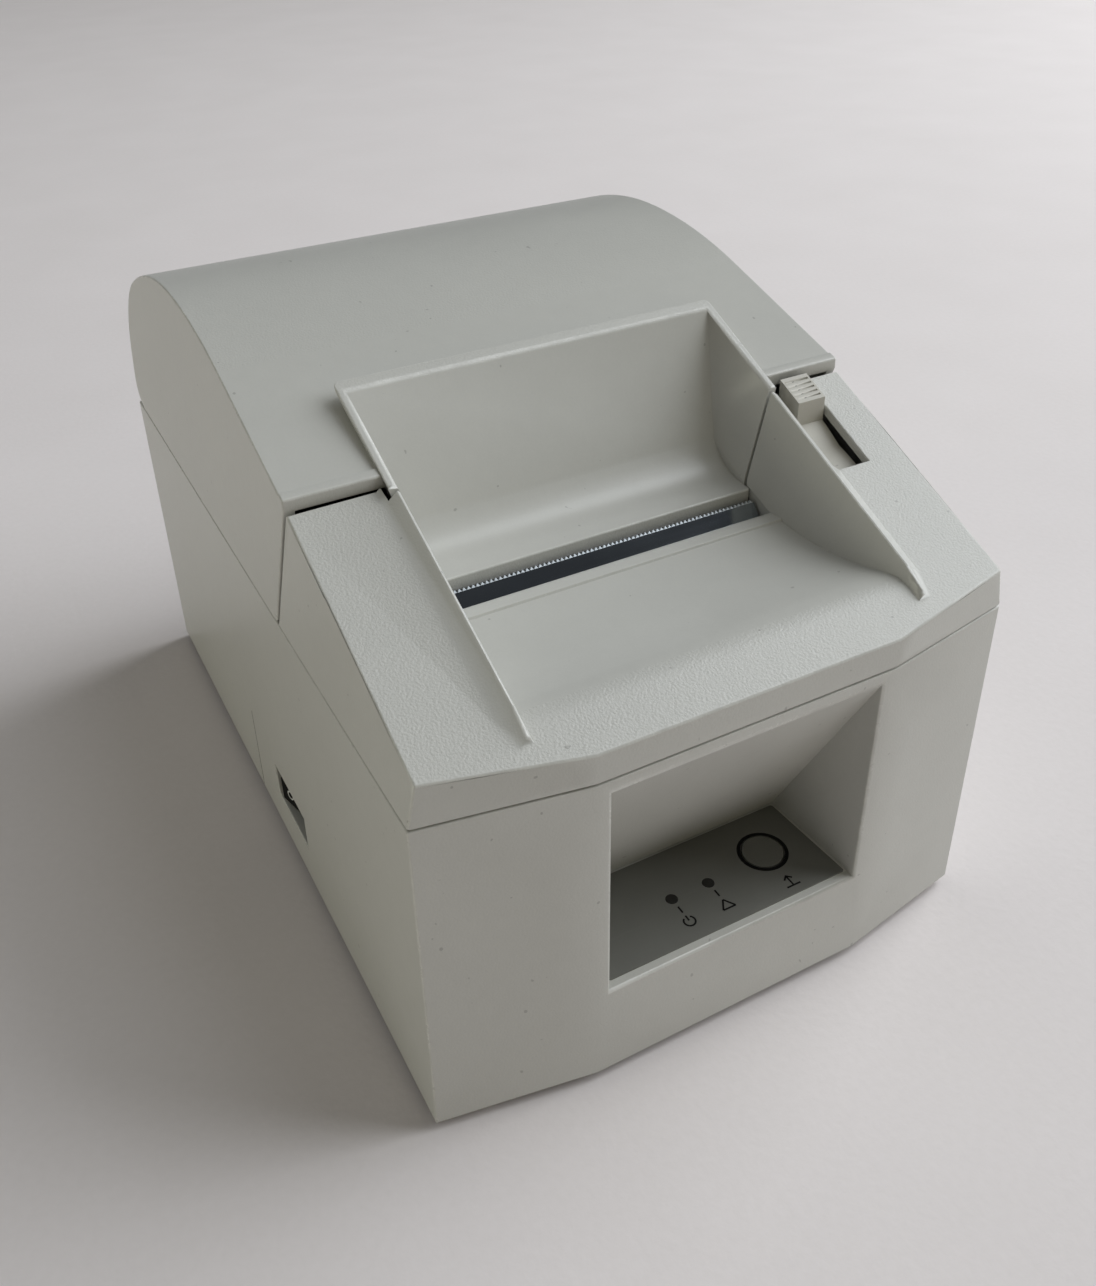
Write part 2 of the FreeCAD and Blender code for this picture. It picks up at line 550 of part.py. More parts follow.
    rear_opening = box("rear_opening", ("-port_half", "%s - wall*2" % REAR, "port_low"),
                       ("port_half", "%s + wall" % REAR, "port_high"))
    side_seam = box("side_seam", ("-case_width", from_face("seam_from_face"), "foot_height"),
                    ("-(%s - seam_depth)" % HALF, from_face("seam_from_face + seam_wide"), "seam_high"))
    solid = fuse("case_solid", walls, recess_skin, switch_skin, switch_rim,
                 *two_sides(boss, "case_boss"), *two_sides(ear, "hinge_ear"),
                 *two_sides(panel_post, "panel_post"))
    hollow = cut("case_hollow", solid, recess_space, switch_space, rear_opening, side_seam)
    whole = fuse("case_with_floor", hollow, floor)
    return cut("lower_case", whole, feed_hole, rocker_hole, *led_holes, *two_sides(boss_holes, "boss_hole"))


# Front cover
def make_front_cover():
    slope_turn = FreeCAD.Rotation(FreeCAD.Vector(1, 0, 0), math.degrees(math.atan(value("cover_slope"))))
    along = "*sqrt(1 + cover_slope*cover_slope)"
    top = doc.addObject("Sketcher::SketchObject", "cover_top_section")
    top.Placement = FreeCAD.Placement(FreeCAD.Vector(), slope_turn)
    bind(top, Placement__Base__y=FACE, Placement__Base__z=cover_top("0"))
    top_half = "%s - cover_inset" % TOP_HALF
    draw_outline(top, mirrored([("facet_width/2", "0"), (top_half, "facet_setback" + along),
                                (top_half, "cover_back" + along)]))
    foot = case_outline(TOP_HALF, FACE, "facet_setback", from_face("cover_foot_back"))
    outer = loft("cover_outer", level_section("cover_foot_section", foot, "parting_height"), top)
    ring_out = prism("cover_groove_out", "XY", [
        case_outline("%s + wall" % TOP_HALF, "%s - wall" % FACE, "facet_setback",
                     from_face("cover_foot_back + wall")),
        case_outline("%s - groove_depth" % TOP_HALF, "%s + groove_depth" % FACE, "facet_setback",
                     from_face("cover_foot_back + wall/2")),
    ], "parting_height - wall", "parting_height + cover_gap")
    plan = prism("cover_inside_plan", "XY", [case_outline(
        "%s - cover_inset - wall" % TOP_HALF, "%s + wall" % FACE, "facet_setback",
        from_face("cover_foot_back + wall"))],
        "parting_height - wall", "parting_height + case_depth/2")
    down = "-wall*sqrt(1 + cover_slope*cover_slope)"
    side = prism("cover_inside_side", "YZ", [[
        (FRONT, "parting_height - wall"), (from_face("cover_foot_back + wall"), "parting_height - wall"),
        (from_face("cover_foot_back + wall"), cover_top("cover_foot_back + wall", down)),
        (FRONT, cover_top("0", down + " - cover_slope*front_draft"))]],
        "-%s" % HALF, HALF)
    shell = cut("cover_shell", outer, common("cover_inside", plan, side), ring_out)

    # Floor of the scoop, the bead behind it and the slot for the paper
    def scoop_floor(drop):
        """Corners of the floor from its front to the slot, lower by drop."""
        return [(from_face("scoop_end"), "parting_height + scoop_height - %s" % drop,
                 "scoop_radius + %s" % drop, 1),
                (from_face("slot_front"), "parting_height + scoop_height - slot_drop - %s" % drop)]

    high = "parting_height + case_depth"
    space_side = prism("scoop_space_side", "YZ", [[
        (FRONT, high), (from_face("scoop_start"), cover_top("scoop_start")), *scoop_floor("0"),
        (from_face("slot_front"), SEAM_LOW), (REAR, SEAM_LOW), (REAR, high)]], "-%s" % HALF, HALF)
    space = common("scoop_space", space_side, trough("scoop_trough", "0"))
    skin_side = prism("scoop_skin_side", "YZ", [[
        (from_face("scoop_start"), cover_top("scoop_start", "-pocket_skin")), *scoop_floor("pocket_skin"),
        (seam("parting_height + scoop_height - pocket_skin", "-cover_gap/2"),
         "parting_height + scoop_height - slot_drop - pocket_skin"),
        (seam(cover_top("seam_top"), "-cover_gap/2"), cover_top("seam_top")),
        (from_face("scoop_start"), cover_top("scoop_start"))]], "-%s" % HALF, HALF)
    skin = common("scoop_skin", skin_side, trough("scoop_skin_trough", "pocket_skin"))

    def ridge(name, side):
        """The raised edge beside the scoop, tapered to a tip at the front."""
        sections = []
        tip = (("tip", "ridge_start", "ridge_tip"), ("full", "ridge_start + ridge_lead", "1"),
               ("back", "cover_back", "1"))
        for word, back, share in tip:
            section = doc.addObject("Sketcher::SketchObject", "%s_%s" % (name, word))
            section.Placement = turned((1, 0, 0), 90)
            bind(section, Placement__Base__y=from_face(back), Placement__Base__z=cover_top(back))
            inner = "pocket_half - pocket_rake*ridge_height"
            height = "ridge_height*%s" % share
            corners = [(inner, "-wall/2"), ("pocket_half + ridge_width", "-wall/2"),
                       ("pocket_half + ridge_width*%s" % share, "0"), ("pocket_half", height), (inner, "0")]
            draw_outline(section, corners if side > 0 else [("-(%s)" % a, b) for a, b in reversed(corners)])
            sections.append(section)
        return loft(name, *sections)

    lever_slot = box("lever_slot", ("lever_slot_left", from_face("lever_slot_front"), "parting_height"),
                     ("lever_slot_right", from_face("cover_foot_back"), "parting_height + case_depth/2"))
    back_clear = prism("cover_back_clear", "YZ", [[
        (seam("parting_height - wall", "-cover_gap/2"), "parting_height - wall"),
        (REAR, "parting_height - wall"),
        (REAR, high), (seam(high, "-cover_gap/2"), high)]], "-(pocket_half + pocket_skin + free_gap)",
        "pocket_half + pocket_skin + free_gap")
    whole = fuse("cover_solid", shell, skin, *two_sides(ridge, "ridge"))
    return cut("front_cover", whole, space, lever_slot, back_clear)


# Rear cover
HOLDER_SCREW_Y = from_face("platen_from_face + holder_screw_back")
CREST = from_face("lid_crest")
LIP_Z = "(parting_height + lip_height)"
HINGE_Y = "(%s - hinge_inset)" % REAR
# The arc behind the crest is level at the crest and runs on into the corner's arc
BACK_RADIUS = ("((pow(corner_reach; 2) + pow(corner_drop; 2) - pow(lid_corner_radius; 2))"
               "/(2*(corner_drop - lid_corner_radius)))")


def lid_profile(skin, front):
    """Side outline of the rear cover from the front lip over the crest to the hinge, inset by skin."""
    scale = "(%s - %s)/(%s - lid_corner_radius)" % (BACK_RADIUS, skin, BACK_RADIUS)
    slope_drop = "%s*sqrt(1 + lid_slope*lid_slope)" % skin
    start_z = "%s - %s + lid_slope*(%s - lip_start)" % (LIP_Z, slope_drop, front)
    return [
        (from_face(front), start_z),
        ("%s - (lid_front_radius - %s)*sin(atan(lid_slope))" % (CREST, skin),
         "crest_height - lid_front_radius + (lid_front_radius - %s)*cos(atan(lid_slope))" % skin),
        (CREST, "crest_height - %s" % skin, "lid_front_radius - %s" % skin, -1),
        ("%s + corner_reach*%s" % (CREST, scale),
         "crest_height - %s + (%s - corner_drop)*%s" % (BACK_RADIUS, BACK_RADIUS, scale),
         "%s - %s" % (BACK_RADIUS, skin), -1),
        ("%s - %s" % (REAR, skin), "crest_height - corner_drop", "lid_corner_radius - %s" % skin, -1),
        ("%s - %s" % (REAR, skin), "hinge_height"),
        (HINGE_Y, "hinge_height - hinge_inset + %s" % skin, "hinge_inset - %s" % skin, -1),
    ]


def make_rear_cover():
    foot = "(parting_height + cover_gap)"
    outer = prism("lid_outer", "YZ", [[
        *lid_profile("0", "lip_start"), (HINGE_Y, foot), (from_face("skirt_front"), foot),
        (from_face("lip_start"), "%s - lip_thick" % LIP_Z)]], "-%s" % TOP_HALF, TOP_HALF)
    draft = "lid_inset/(lip_height - cover_gap)"

    def side_draft(name, side):
        """What the sides lose where they lean in."""
        line = [("%s" % TOP_HALF, foot),
                ("%s - %s*case_width" % (TOP_HALF, draft), "%s + case_width" % foot),
                ("case_width", "%s + case_width" % foot), ("case_width", foot)]
        return prism(name, "XZ", [line if side > 0 else [("-(%s)" % a, b) for a, b in reversed(line)]],
                     FRONT, "case_depth")

    inside = prism("lid_inside", "YZ", [[
        *lid_profile("wall", "lip_start - wall"), (HINGE_Y, "foot_height"),
        (from_face("lip_start - wall"), "foot_height")]],
        "-(%s - lid_inset - wall)" % TOP_HALF, "%s - lid_inset - wall" % TOP_HALF)
    shell = cut("lid_shell", outer, inside, *two_sides(side_draft, "lid_draft"))

    # Paper pocket: a flat lip, a bend and a raked back wall up to the rim
    def pocket_floor(skin):
        rake = "(pocket_back - pocket_wall_foot)/(pocket_back_height - pocket_wall_foot_height)"
        over = "%s*sqrt(1 + pow(%s; 2))" % (skin, rake)
        return [
            (from_face("pocket_floor_end"), "parting_height + pocket_lip_height - %s" % skin),
            (from_face("pocket_wall_foot + %s" % over), "parting_height + pocket_wall_foot_height",
             "pocket_bend_radius + %s" % skin, 1),
            (from_face("pocket_back + %s + %s*band_height" % (over, rake)),
             "parting_height + pocket_back_height + band_height")]

    high = "parting_height + case_depth"
    space_side = prism("pocket_space_side", "YZ", [[
        (FRONT, "parting_height + pocket_lip_height"), *pocket_floor("0"), (REAR, high), (FRONT, high)]],
        "-%s" % HALF, HALF)
    space = common("pocket_space", space_side, trough("pocket_trough", "0"))
    rim_height = pocket_top("0")
    rim_back = pocket_top("case_depth")
    skin_side = prism("pocket_skin_side", "YZ", [[
        (seam("parting_height + pocket_lip_height", "cover_gap/2"),
         "parting_height + pocket_lip_height - pocket_skin"),
        *pocket_floor("pocket_skin"),
        (seam(high, "cover_gap/2"), high)]], "-%s" % HALF, HALF)
    under_rim = prism("under_rim", "YZ", [[
        (FACE, "foot_height"), (from_face("case_depth"), "foot_height"),
        (from_face("case_depth"), rim_back),
        (FACE, rim_height)]], "-%s" % HALF, HALF)
    skin = common("pocket_skin_body", skin_side, under_rim, trough("pocket_skin_trough", "pocket_skin"))
    lip = box("pocket_lip_bar",
              ("-(slot_half - free_gap)", from_face("pocket_lip"),
               "parting_height + pocket_lip_height - lip_depth"),
              ("slot_half - free_gap", from_face("pocket_lip + pocket_skin"),
               "parting_height + pocket_lip_height"))
    lip_floor = box("pocket_lip_floor",
                    ("-(slot_half - free_gap)", from_face("pocket_lip"),
                     "parting_height + pocket_lip_height - pocket_skin"),
                    ("slot_half - free_gap", from_face("pocket_floor_end + pocket_skin"),
                     "parting_height + pocket_lip_height"))
    open_front = prism("pocket_open_front", "YZ", [[
        (FRONT, "foot_height"), (seam("foot_height", "cover_gap/2"), "foot_height"),
        (seam(high, "cover_gap/2"), high), (FRONT, high)]], "-(pocket_half + pocket_skin)",
        "pocket_half + pocket_skin")

    def lug(name, side):
        """The arm that turns on a hinge pin."""
        low, high_x = span(side, "lug_inner", "lug_inner + lug_thick")
        return prism(name, "YZ", [[
            ("%s - ear_radius" % HINGE_Y, "hinge_height"),
            (HINGE_Y, "hinge_height - ear_radius", "ear_radius", 1),
            ("%s + ear_radius" % HINGE_Y, "hinge_height", "ear_radius", 1),
            ("%s - wall/2" % REAR, "hinge_height"),
            ("%s - wall/2" % REAR, "hinge_height + lug_web"),
            ("%s - ear_radius" % HINGE_Y, "hinge_height + lug_web"),
        ], circle(HINGE_Y, "hinge_height", "hinge_pin_radius + running_gap")], low, high_x)

    def ear_clear(name, side):
        """The slot that lets the case's ear pass through the rolled edge."""
        low, high_x = span(side, "ear_inner - cover_gap", "ear_inner + ear_thick + cover_gap")
        return box(name, (low, "%s - hinge_inset - wall" % HINGE_Y, "foot_height"),
                   (high_x, "%s + wall" % REAR, "hinge_height + hinge_inset + cover_gap"))

    def screw_boss(name, side):
        """A post that the platen holder is screwed to."""
        return rod(name, "Z", (sided("holder_screw_at", side), HOLDER_SCREW_Y, "holder_top"),
                   "holder_boss_radius",
                   "holder_boss_height")

    def screw_hole(name, side):
        return rod(name, "Z", (sided("holder_screw_at", side), HOLDER_SCREW_Y, "holder_top"), "screw_radius",
                   "holder_hole_depth")

    solid = fuse("lid_solid", shell, skin, *two_sides(lug, "lid_lug"),
                 *two_sides(screw_boss, "holder_boss"))
    hollow = cut("lid_hollow", solid, space, open_front, *two_sides(ear_clear, "ear_clear"),
                 *two_sides(screw_hole, "holder_hole"))
    return fuse("rear_cover", hollow, lip, lip_floor)


# Bottom of the case
BOSS_X = "(case_width/2 - case_taper - wall - boss_size/2)"
BOSS_YS = (("front", from_face("boss_from_front")), ("back", "(case_depth/2 - boss_from_back)"))
FRAME_FRONT = from_face("frame_front")
FRAME_BACK = from_face("frame_back")


def at_bosses(name, make):
    """A piece at each of the four bottom screws."""
    pieces = []
    for word, middle in BOSS_YS:
        for side_word, side in (("left", -1), ("right", 1)):
            pieces.append(make("%s_%s_%s" % (name, word, side_word), sided(BOSS_X, side), middle))
    return pieces


def screw(name, x, y, z, length):
    """A pan-head screw that points up from z."""
    head = rod(name + "_head", "Z", (x, y, "%s - screw_head_thick" % z), "screw_head_radius",
               "screw_head_thick")
    return fuse(name, head, rod(name + "_shank", "Z", (x, y, z), "screw_radius", length))


def make_bottom_plate():
    sheet_body = prism("bottom_sheet", "XY", [case_outline(
        "%s - wall - fit_gap" % HALF, "%s + wall + fit_gap" % FRONT, "facet_setback",
        "%s - wall - fit_gap" % REAR)],
        "foot_height", "foot_height + plate_thick")
    posts = []
    for word, y in (("front", "%s + post_radius*2" % FRAME_FRONT),
                    ("back", "%s - post_radius*2" % FRAME_BACK)):
        for side_word, side in (("left", -1), ("right", 1)):
            posts.append(rod("frame_post_%s_%s" % (word, side_word), "Z",
                             (sided("frame_half - post_radius*2", side), y, "foot_height"), "post_radius",
                             "frame_low - foot_height"))
    for word, y in (("front", from_face("main_board_front + standoff_inset")),
                    ("back", from_face("main_board_back - standoff_inset"))):
        for side_word, x in (("left", "main_board_left + standoff_inset"),
                             ("right", "main_board_right - standoff_inset")):
            posts.append(rod("standoff_%s_%s" % (word, side_word), "Z", (x, y, "foot_height"),
                             "standoff_radius",
                             "main_board_height - foot_height"))

    def screw_hole(name, x, y):
        return rod(name, "Z", (x, y, "0"), "screw_radius", "frame_low")

    holes = at_bosses("bottom_hole", screw_hole)
    return cut("bottom_plate", fuse("bottom_solid", sheet_body, *posts), *holes)


def make_bottom_screws():
    def bottom_screw(name, x, y):
        return screw(name, x, y, "foot_height", "screw_length")

    return group("bottom_screws", *at_bosses("bottom_screw", bottom_screw))


def make_feet():
    feet = []
    for word, y in (("front", "%s + foot_end_inset" % FRONT), ("back", "%s - foot_end_inset" % REAR)):
        for side_word, side in (("left", -1), ("right", 1)):
            feet.append(rod("foot_%s_%s" % (word, side_word), "Z",
                            (sided("%s - foot_side_inset" % HALF, side), y, "0"),
                            "foot_radius", "foot_height"))
    return group("rubber_feet", *feet)


# Control panel
LABEL_TOP = "(panel_height + label_thick)"
LED_Y = from_face("led_from_face")
FEED_Y = from_face("feed_from_face")
PANEL_BOARD_TOP = "(panel_board_height + board_thick)"


def make_panel_label():
    taper = "(recess_half - recess_back_half)/recess_depth"
    outline = mirrored([("recess_half - label_margin - %s*wall/2" % taper, from_face("wall/2")),
                        ("recess_back_half - label_margin", from_face("recess_depth - label_margin"))])
    return prism("panel_label", "XY", [
        outline, circle("feed_at", FEED_Y, "feed_radius + free_gap"),
        circle("power_led_at", LED_Y, "led_radius"),
        circle("error_led_at", LED_Y, "led_radius")], "panel_height", LABEL_TOP)


def make_led(name, at):
    return rod(name, "Z", (at, LED_Y, PANEL_BOARD_TOP), "led_radius",
               "%s - %s" % (LABEL_TOP, PANEL_BOARD_TOP))


FLANGE_TOP = "(recess_low - recess_skin - free_gap)"
SWITCH_TOP = "(panel_board_height + board_thick + feed_switch_size/2)"


def make_feed_button():
    cap = rod("feed_cap", "Z", ("feed_at", FEED_Y, FLANGE_TOP), "feed_radius",
              "%s + feed_rise - %s" % (LABEL_TOP, FLANGE_TOP))
    flange = rod("feed_flange_disc", "Z", ("feed_at", FEED_Y, "%s - feed_flange_thick" % FLANGE_TOP),
                 "feed_radius + feed_flange", "feed_flange_thick")
    foot = "(%s + feed_travel + feed_rise)" % SWITCH_TOP
    stem = rod("feed_stem", "Z", ("feed_at", FEED_Y, foot), "feed_stem_radius",
               "%s - %s" % (FLANGE_TOP, foot))
    return fuse("feed_button", cap, flange, stem)


def make_feed_switch():
    return box("feed_switch",
               ("feed_at - feed_switch_size/2", "%s - feed_switch_size/2" % FEED_Y, PANEL_BOARD_TOP),
               ("feed_at + feed_switch_size/2", "%s + feed_switch_size/2" % FEED_Y, SWITCH_TOP))


def make_panel_board():
    return box("panel_board", ("panel_board_left", from_face("panel_board_inset"), "panel_board_height"),
               ("panel_board_right", from_face("panel_board_inset + panel_board_depth"), PANEL_BOARD_TOP))


# Power switch
SWITCH_Y = from_face("switch_from_face")
SWITCH_X = "(-(case_width/2 - switch_pocket_depth))"
ROCKER_X = "(%s + rocker_pivot_drop)" % SWITCH_X


def make_switch_body():
    block = box("switch_block",
                (SWITCH_X, "%s - rocker_length/2 - switch_rim" % SWITCH_Y,
                 "switch_height - rocker_tall/2 - switch_rim"),
                ("%s + switch_body_depth" % SWITCH_X, "%s + rocker_length/2 + switch_rim" % SWITCH_Y,
                 "switch_height + rocker_tall/2 + switch_rim"))
    well = box("switch_well",
               ("%s - wall" % SWITCH_X, "%s - rocker_length/2 - switch_rim/2" % SWITCH_Y,
                "switch_height - rocker_tall/2 - free_gap"),
               ("%s + switch_body_depth/2" % SWITCH_X, "%s + rocker_length/2 + switch_rim/2" % SWITCH_Y,
                "switch_height + rocker_tall/2 + free_gap"))
    bearing = rod("rocker_bearing", "Z", (ROCKER_X, SWITCH_Y, "switch_height - rocker_tall/2 - switch_rim"),
                  "rocker_pin_radius + running_gap", "rocker_tall + switch_rim*2")
    return cut("power_switch_body", block, well, bearing)


def make_rocker():
    paddle = prism("rocker_paddle", "XY", [[
        ("rocker_depth", "-rocker_length/3"), ("rocker_depth", "rocker_length/3"),
        ("-rocker_rise", "rocker_length/2"), ("-(rocker_rise - rocker_dip)", "0"),
        ("-rocker_rise", "-rocker_length/2"),
    ]], "-rocker_tall/2", "rocker_tall/2")
    pin = rod("rocker_pin", "Z", ("0", "0", "-(rocker_tall/2 + rocker_pin_reach)"), "rocker_pin_radius",
              "rocker_tall + rocker_pin_reach*2")
    rocker = fuse("power_rocker", paddle, pin)
    rocker.Placement = turned((0, 0, 1), value("rocker_tilt"))
    return place(rocker, ROCKER_X, SWITCH_Y, "switch_height")


# Print mechanism: sheet frame, head, motor and gears
PLATEN_Y = from_face("platen_from_face")
LATCH_Y = from_face("latch_from_face")
FRAME_OUT = "(frame_half + sheet_thick)"
HOOK_IN = "(frame_half + sheet_thick + hook_gap)"
HOOK_OUT = "(frame_half + sheet_thick + hook_gap + hook_thick)"
BUSH_END = "(%s + gear_gap/4)" % HOOK_OUT
GEAR_IN = "(%s + gear_gap)" % HOOK_OUT
GEAR_OUT = "(%s + gear_width)" % GEAR_IN
IDLER_Y = "(%s + idler_reach*sin(idler_lean))" % PLATEN_Y
MOTOR_Y = "(%s + motor_reach*sin(motor_lean))" % IDLER_Y
HEAD_BACK = "(%s - platen_radius - free_gap)" % PLATEN_Y
HEAD_FRONT = "(%s - head_thick)" % HEAD_BACK
HEAD_PIN_Y = "(%s - heatsink_thick/2)" % HEAD_FRONT
BAR_Y = from_face("bar_from_face")
TEAR_Y = from_face("tear_from_face")


def make_mechanism_frame():
    notch = "(bush_radius + free_gap)"

    def side_plate(name, side):
        holes = [circle(LATCH_Y, "latch_height", "latch_radius + running_gap"),
                 circle(HEAD_PIN_Y, "head_pivot_height", "head_pin_radius + running_gap")]
        if side < 0:
            holes.append(circle(IDLER_Y, "idler_height", "shaft_radius"))
            holes.append(circle(MOTOR_Y, "motor_height", "motor_boss_radius"))
        outline = [
            (FRAME_FRONT, "frame_low"), (FRAME_BACK, "frame_low"), (FRAME_BACK, "frame_back_high"),
            ("%s + frame_shoulder" % PLATEN_Y, "frame_back_high"),
            ("%s + frame_shoulder" % PLATEN_Y, "frame_high"),
            ("%s + %s" % (PLATEN_Y, notch), "frame_high"), ("%s + %s" % (PLATEN_Y, notch), "platen_height"),
            (PLATEN_Y, "platen_height - %s" % notch, notch, -1),
            ("%s - %s" % (PLATEN_Y, notch), "platen_height", notch, -1),
            ("%s - %s" % (PLATEN_Y, notch), "frame_high"), (TEAR_Y, "frame_high"),
            (FRAME_FRONT, "frame_front_high")]
        low, high = span(side, "frame_half", FRAME_OUT)
        return prism(name, "YZ", [outline] + holes, low, high)

    floor = box("frame_floor", ("-frame_half", FRAME_FRONT, "frame_low"),
                ("frame_half", FRAME_BACK, "frame_low + sheet_thick"))
    return fuse("mechanism_frame", floor, *two_sides(side_plate, "frame_plate"))


def on_tear_bar(down, under):
    """Y and Z of a point a distance down the tear bar's face and a distance under it."""
    return ("%s - (%s)*cos(tear_tilt) + (%s)*sin(tear_tilt)" % (TEAR_Y, down, under),
            "tear_height - (%s)*sin(tear_tilt) - (%s)*cos(tear_tilt)" % (down, under))


def tear_holes(name, depth):
    """Rods square to the tear bar's face, at its two screws."""
    rods = []
    turn = FreeCAD.Rotation(FreeCAD.Vector(1, 0, 0), 180 + value("tear_tilt"))
    for word, side in (("left", -1), ("right", 1)):
        bar = doc.addObject("Part::Cylinder", "%s_%s" % (name, word))
        bar.Placement = FreeCAD.Placement(FreeCAD.Vector(), turn)
        bind(bar, Radius="tear_screw_radius", Height=depth)
        rods.append(place(bar, sided("tear_screw_at", side), *on_tear_bar("tear_screw_down", "0")))
    return rods


def make_spring_bar():
    """The cross bar that backs the head springs and carries the tear bar."""
    bar = prism("spring_bar_body", "YZ", [[
        (BAR_Y, "bar_low"), ("%s + bar_thick" % BAR_Y, "bar_low"),
        ("%s + bar_thick" % BAR_Y, "bar_bend - bar_thick"),
        on_tear_bar("flange_start", "tear_thick + bar_thick"), on_tear_bar("flange_start", "tear_thick"),
        on_tear_bar("tear_width", "tear_thick"), (BAR_Y, "bar_bend")]], "-tear_half", "tear_half")
    web = box("spring_bar_web", ("-frame_half", BAR_Y, "bar_low"),
              ("frame_half", "%s + bar_thick" % BAR_Y, "bar_bend - bar_thick"))
    return cut("spring_bar", fuse("spring_bar_solid", bar, web),
               *tear_holes("bar_hole", "tear_screw_length"))


def make_tear_bar():
    """A steel strip with a row of fine teeth, which a loop draws."""
    half, pitch, tall = value("tear_half"), value("tooth_pitch"), value("tooth_height")
    count = int(2 * half // pitch)
    first = -count * pitch / 2
    corners = [FreeCAD.Vector(half, -value("tear_width"), 0), FreeCAD.Vector(half, -tall, 0)]
    for number in reversed(range(count)):
        corners.append(FreeCAD.Vector(first + (number + 1) * pitch, -tall, 0))
        corners.append(FreeCAD.Vector(first + (number + 0.5) * pitch, 0, 0))
    corners.append(FreeCAD.Vector(first, -tall, 0))
    corners.append(FreeCAD.Vector(-half, -tall, 0))
    corners.append(FreeCAD.Vector(-half, -value("tear_width"), 0))
    strip = extruded("tear_strip", corners, (0, 0, -value("tear_thick")))
    strip.Placement = turned((1, 0, 0), value("tear_tilt"))
    place(strip, "0", TEAR_Y, "tear_height")
    return cut("tear_bar", strip, *tear_holes("strip_hole", "tear_thick*2"))


def make_tear_screws():
    shanks = tear_holes("tear_shank", "tear_screw_length")
    heads = []
    turn = FreeCAD.Rotation(FreeCAD.Vector(1, 0, 0), value("tear_tilt"))
    for word, side in (("left", -1), ("right", 1)):
        head = doc.addObject("Part::Cylinder", "tear_head_" + word)
        head.Placement = FreeCAD.Placement(FreeCAD.Vector(), turn)
        bind(head, Radius="tear_head_radius", Height="tear_head_thick")
        heads.append(place(head, sided("tear_screw_at", side), *on_tear_bar("tear_screw_down", "0")))
    return group("tear_bar_screws", *[fuse("tear_screw_%d" % number, *pair)
                                      for number, pair in enumerate(zip(shanks, heads))])


def make_thermal_head():
    return box("thermal_head", ("-head_half", HEAD_FRONT, "head_low"),
               ("head_half", HEAD_BACK, "head_high"))


def make_heatsink():
    block = box("heatsink_block", ("-head_half", "%s - heatsink_thick" % HEAD_FRONT, "heatsink_low"),
                ("head_half", HEAD_FRONT, "heatsink_high"))
    pin = rod("head_pin", "X", ("-%s" % FRAME_OUT, HEAD_PIN_Y, "head_pivot_height"), "head_pin_radius",
              "%s*2" % FRAME_OUT)
    return fuse("head_heatsink", block, pin)


def make_head_springs():
    springs = []
    start = "(%s + bar_thick)" % BAR_Y
    length = "(%s - heatsink_thick - spring_gap - %s)" % (HEAD_FRONT, start)
    for word, side in (("left", -1), ("right", 1)):
        name = "head_spring_" + word
        at = (sided("head_spring_at", side), start, "head_spring_height")
        springs.append(cut(name, rod(name + "_coil", "Y", at, "head_spring_radius", length),
                           rod(name + "_bore", "Y", at, "head_spring_radius - spring_wire", length)))
    return group("head_springs", *springs)


def gear_blank(name, teeth_name, turn):
    """A spur gear's outline with involute flanks, padded along X and turned about its axis."""
    teeth, module = int(value(teeth_name)), value("gear_module")
    pressure = math.radians(value("pressure_angle"))
    pitch = module * teeth / 2
    base = pitch * math.cos(pressure)
    root, tip = pitch - 1.2 * module, pitch + 0.95 * module
    half_tooth = math.pi / (2 * teeth) - value("gear_backlash") / (2 * pitch)
    involute = math.tan(pressure) - pressure

    def flank_angle(radius):
        """Angle from a tooth's middle to its flank at a radius."""
        angle = math.acos(min(1.0, base / radius))
        return half_tooth + involute - (math.tan(angle) - angle)

    start = max(base, root)
    radii = [start, (start + pitch) / 2, pitch, (pitch + tip) / 2, tip]
    flank = [(root, flank_angle(start))]
    flank += [(radius, flank_angle(radius)) for radius in radii if radius > root]
    points = []
    for tooth in range(teeth):
        middle = math.radians(turn) + tooth * 2 * math.pi / teeth
        for radius, angle in flank:
            points.append((radius, middle - angle))
        for radius, angle in reversed(flank):
            points.append((radius, middle + angle))
    corners = [FreeCAD.Vector(0, radius * math.cos(angle), radius * math.sin(angle))
               for radius, angle in points]
    return extruded(name, corners, (value("gear_width"), 0, 0))


def gear(name, teeth_name, turn, y, z, bore):
    blank = place(gear_blank(name + "_blank", teeth_name, turn), "-%s" % GEAR_OUT, y, z)
    return cut(name, blank,
               rod(name + "_bore", "X", ("-(%s + gear_width)" % GEAR_OUT, y, z), bore, "gear_width*3"))


def mesh_turn(teeth_name, turn, other_teeth_name, direction):
    """Turn, in degrees, of a gear that meshes with another one; direction points from that one to it."""
    pitch = 360 / value(other_teeth_name)
    own_pitch = 360 / value(teeth_name)
    phase = (direction - turn) / pitch
    return direction + 180 - (0.5 - phase) * own_pitch


IDLER_WAY = value("idler_lean") - 90
MOTOR_WAY = value("motor_lean") - 90
IDLER_TURN = mesh_turn("idler_teeth", 0, "platen_teeth", IDLER_WAY)
PINION_TURN = mesh_turn("pinion_teeth", IDLER_TURN, "idler_teeth", MOTOR_WAY)


def make_idler_post():
    head_start = "(%s + gear_gap)" % GEAR_OUT
    post = rod("idler_pin", "X", ("-%s" % head_start, IDLER_Y, "idler_height"), "shaft_radius",
               "%s - frame_half" % head_start)
    head = rod("idler_pin_head", "X", ("-(%s + post_head_thick)" % head_start, IDLER_Y, "idler_height"),
               "post_head_radius",
               "post_head_thick")
    return fuse("idler_post", post, head)


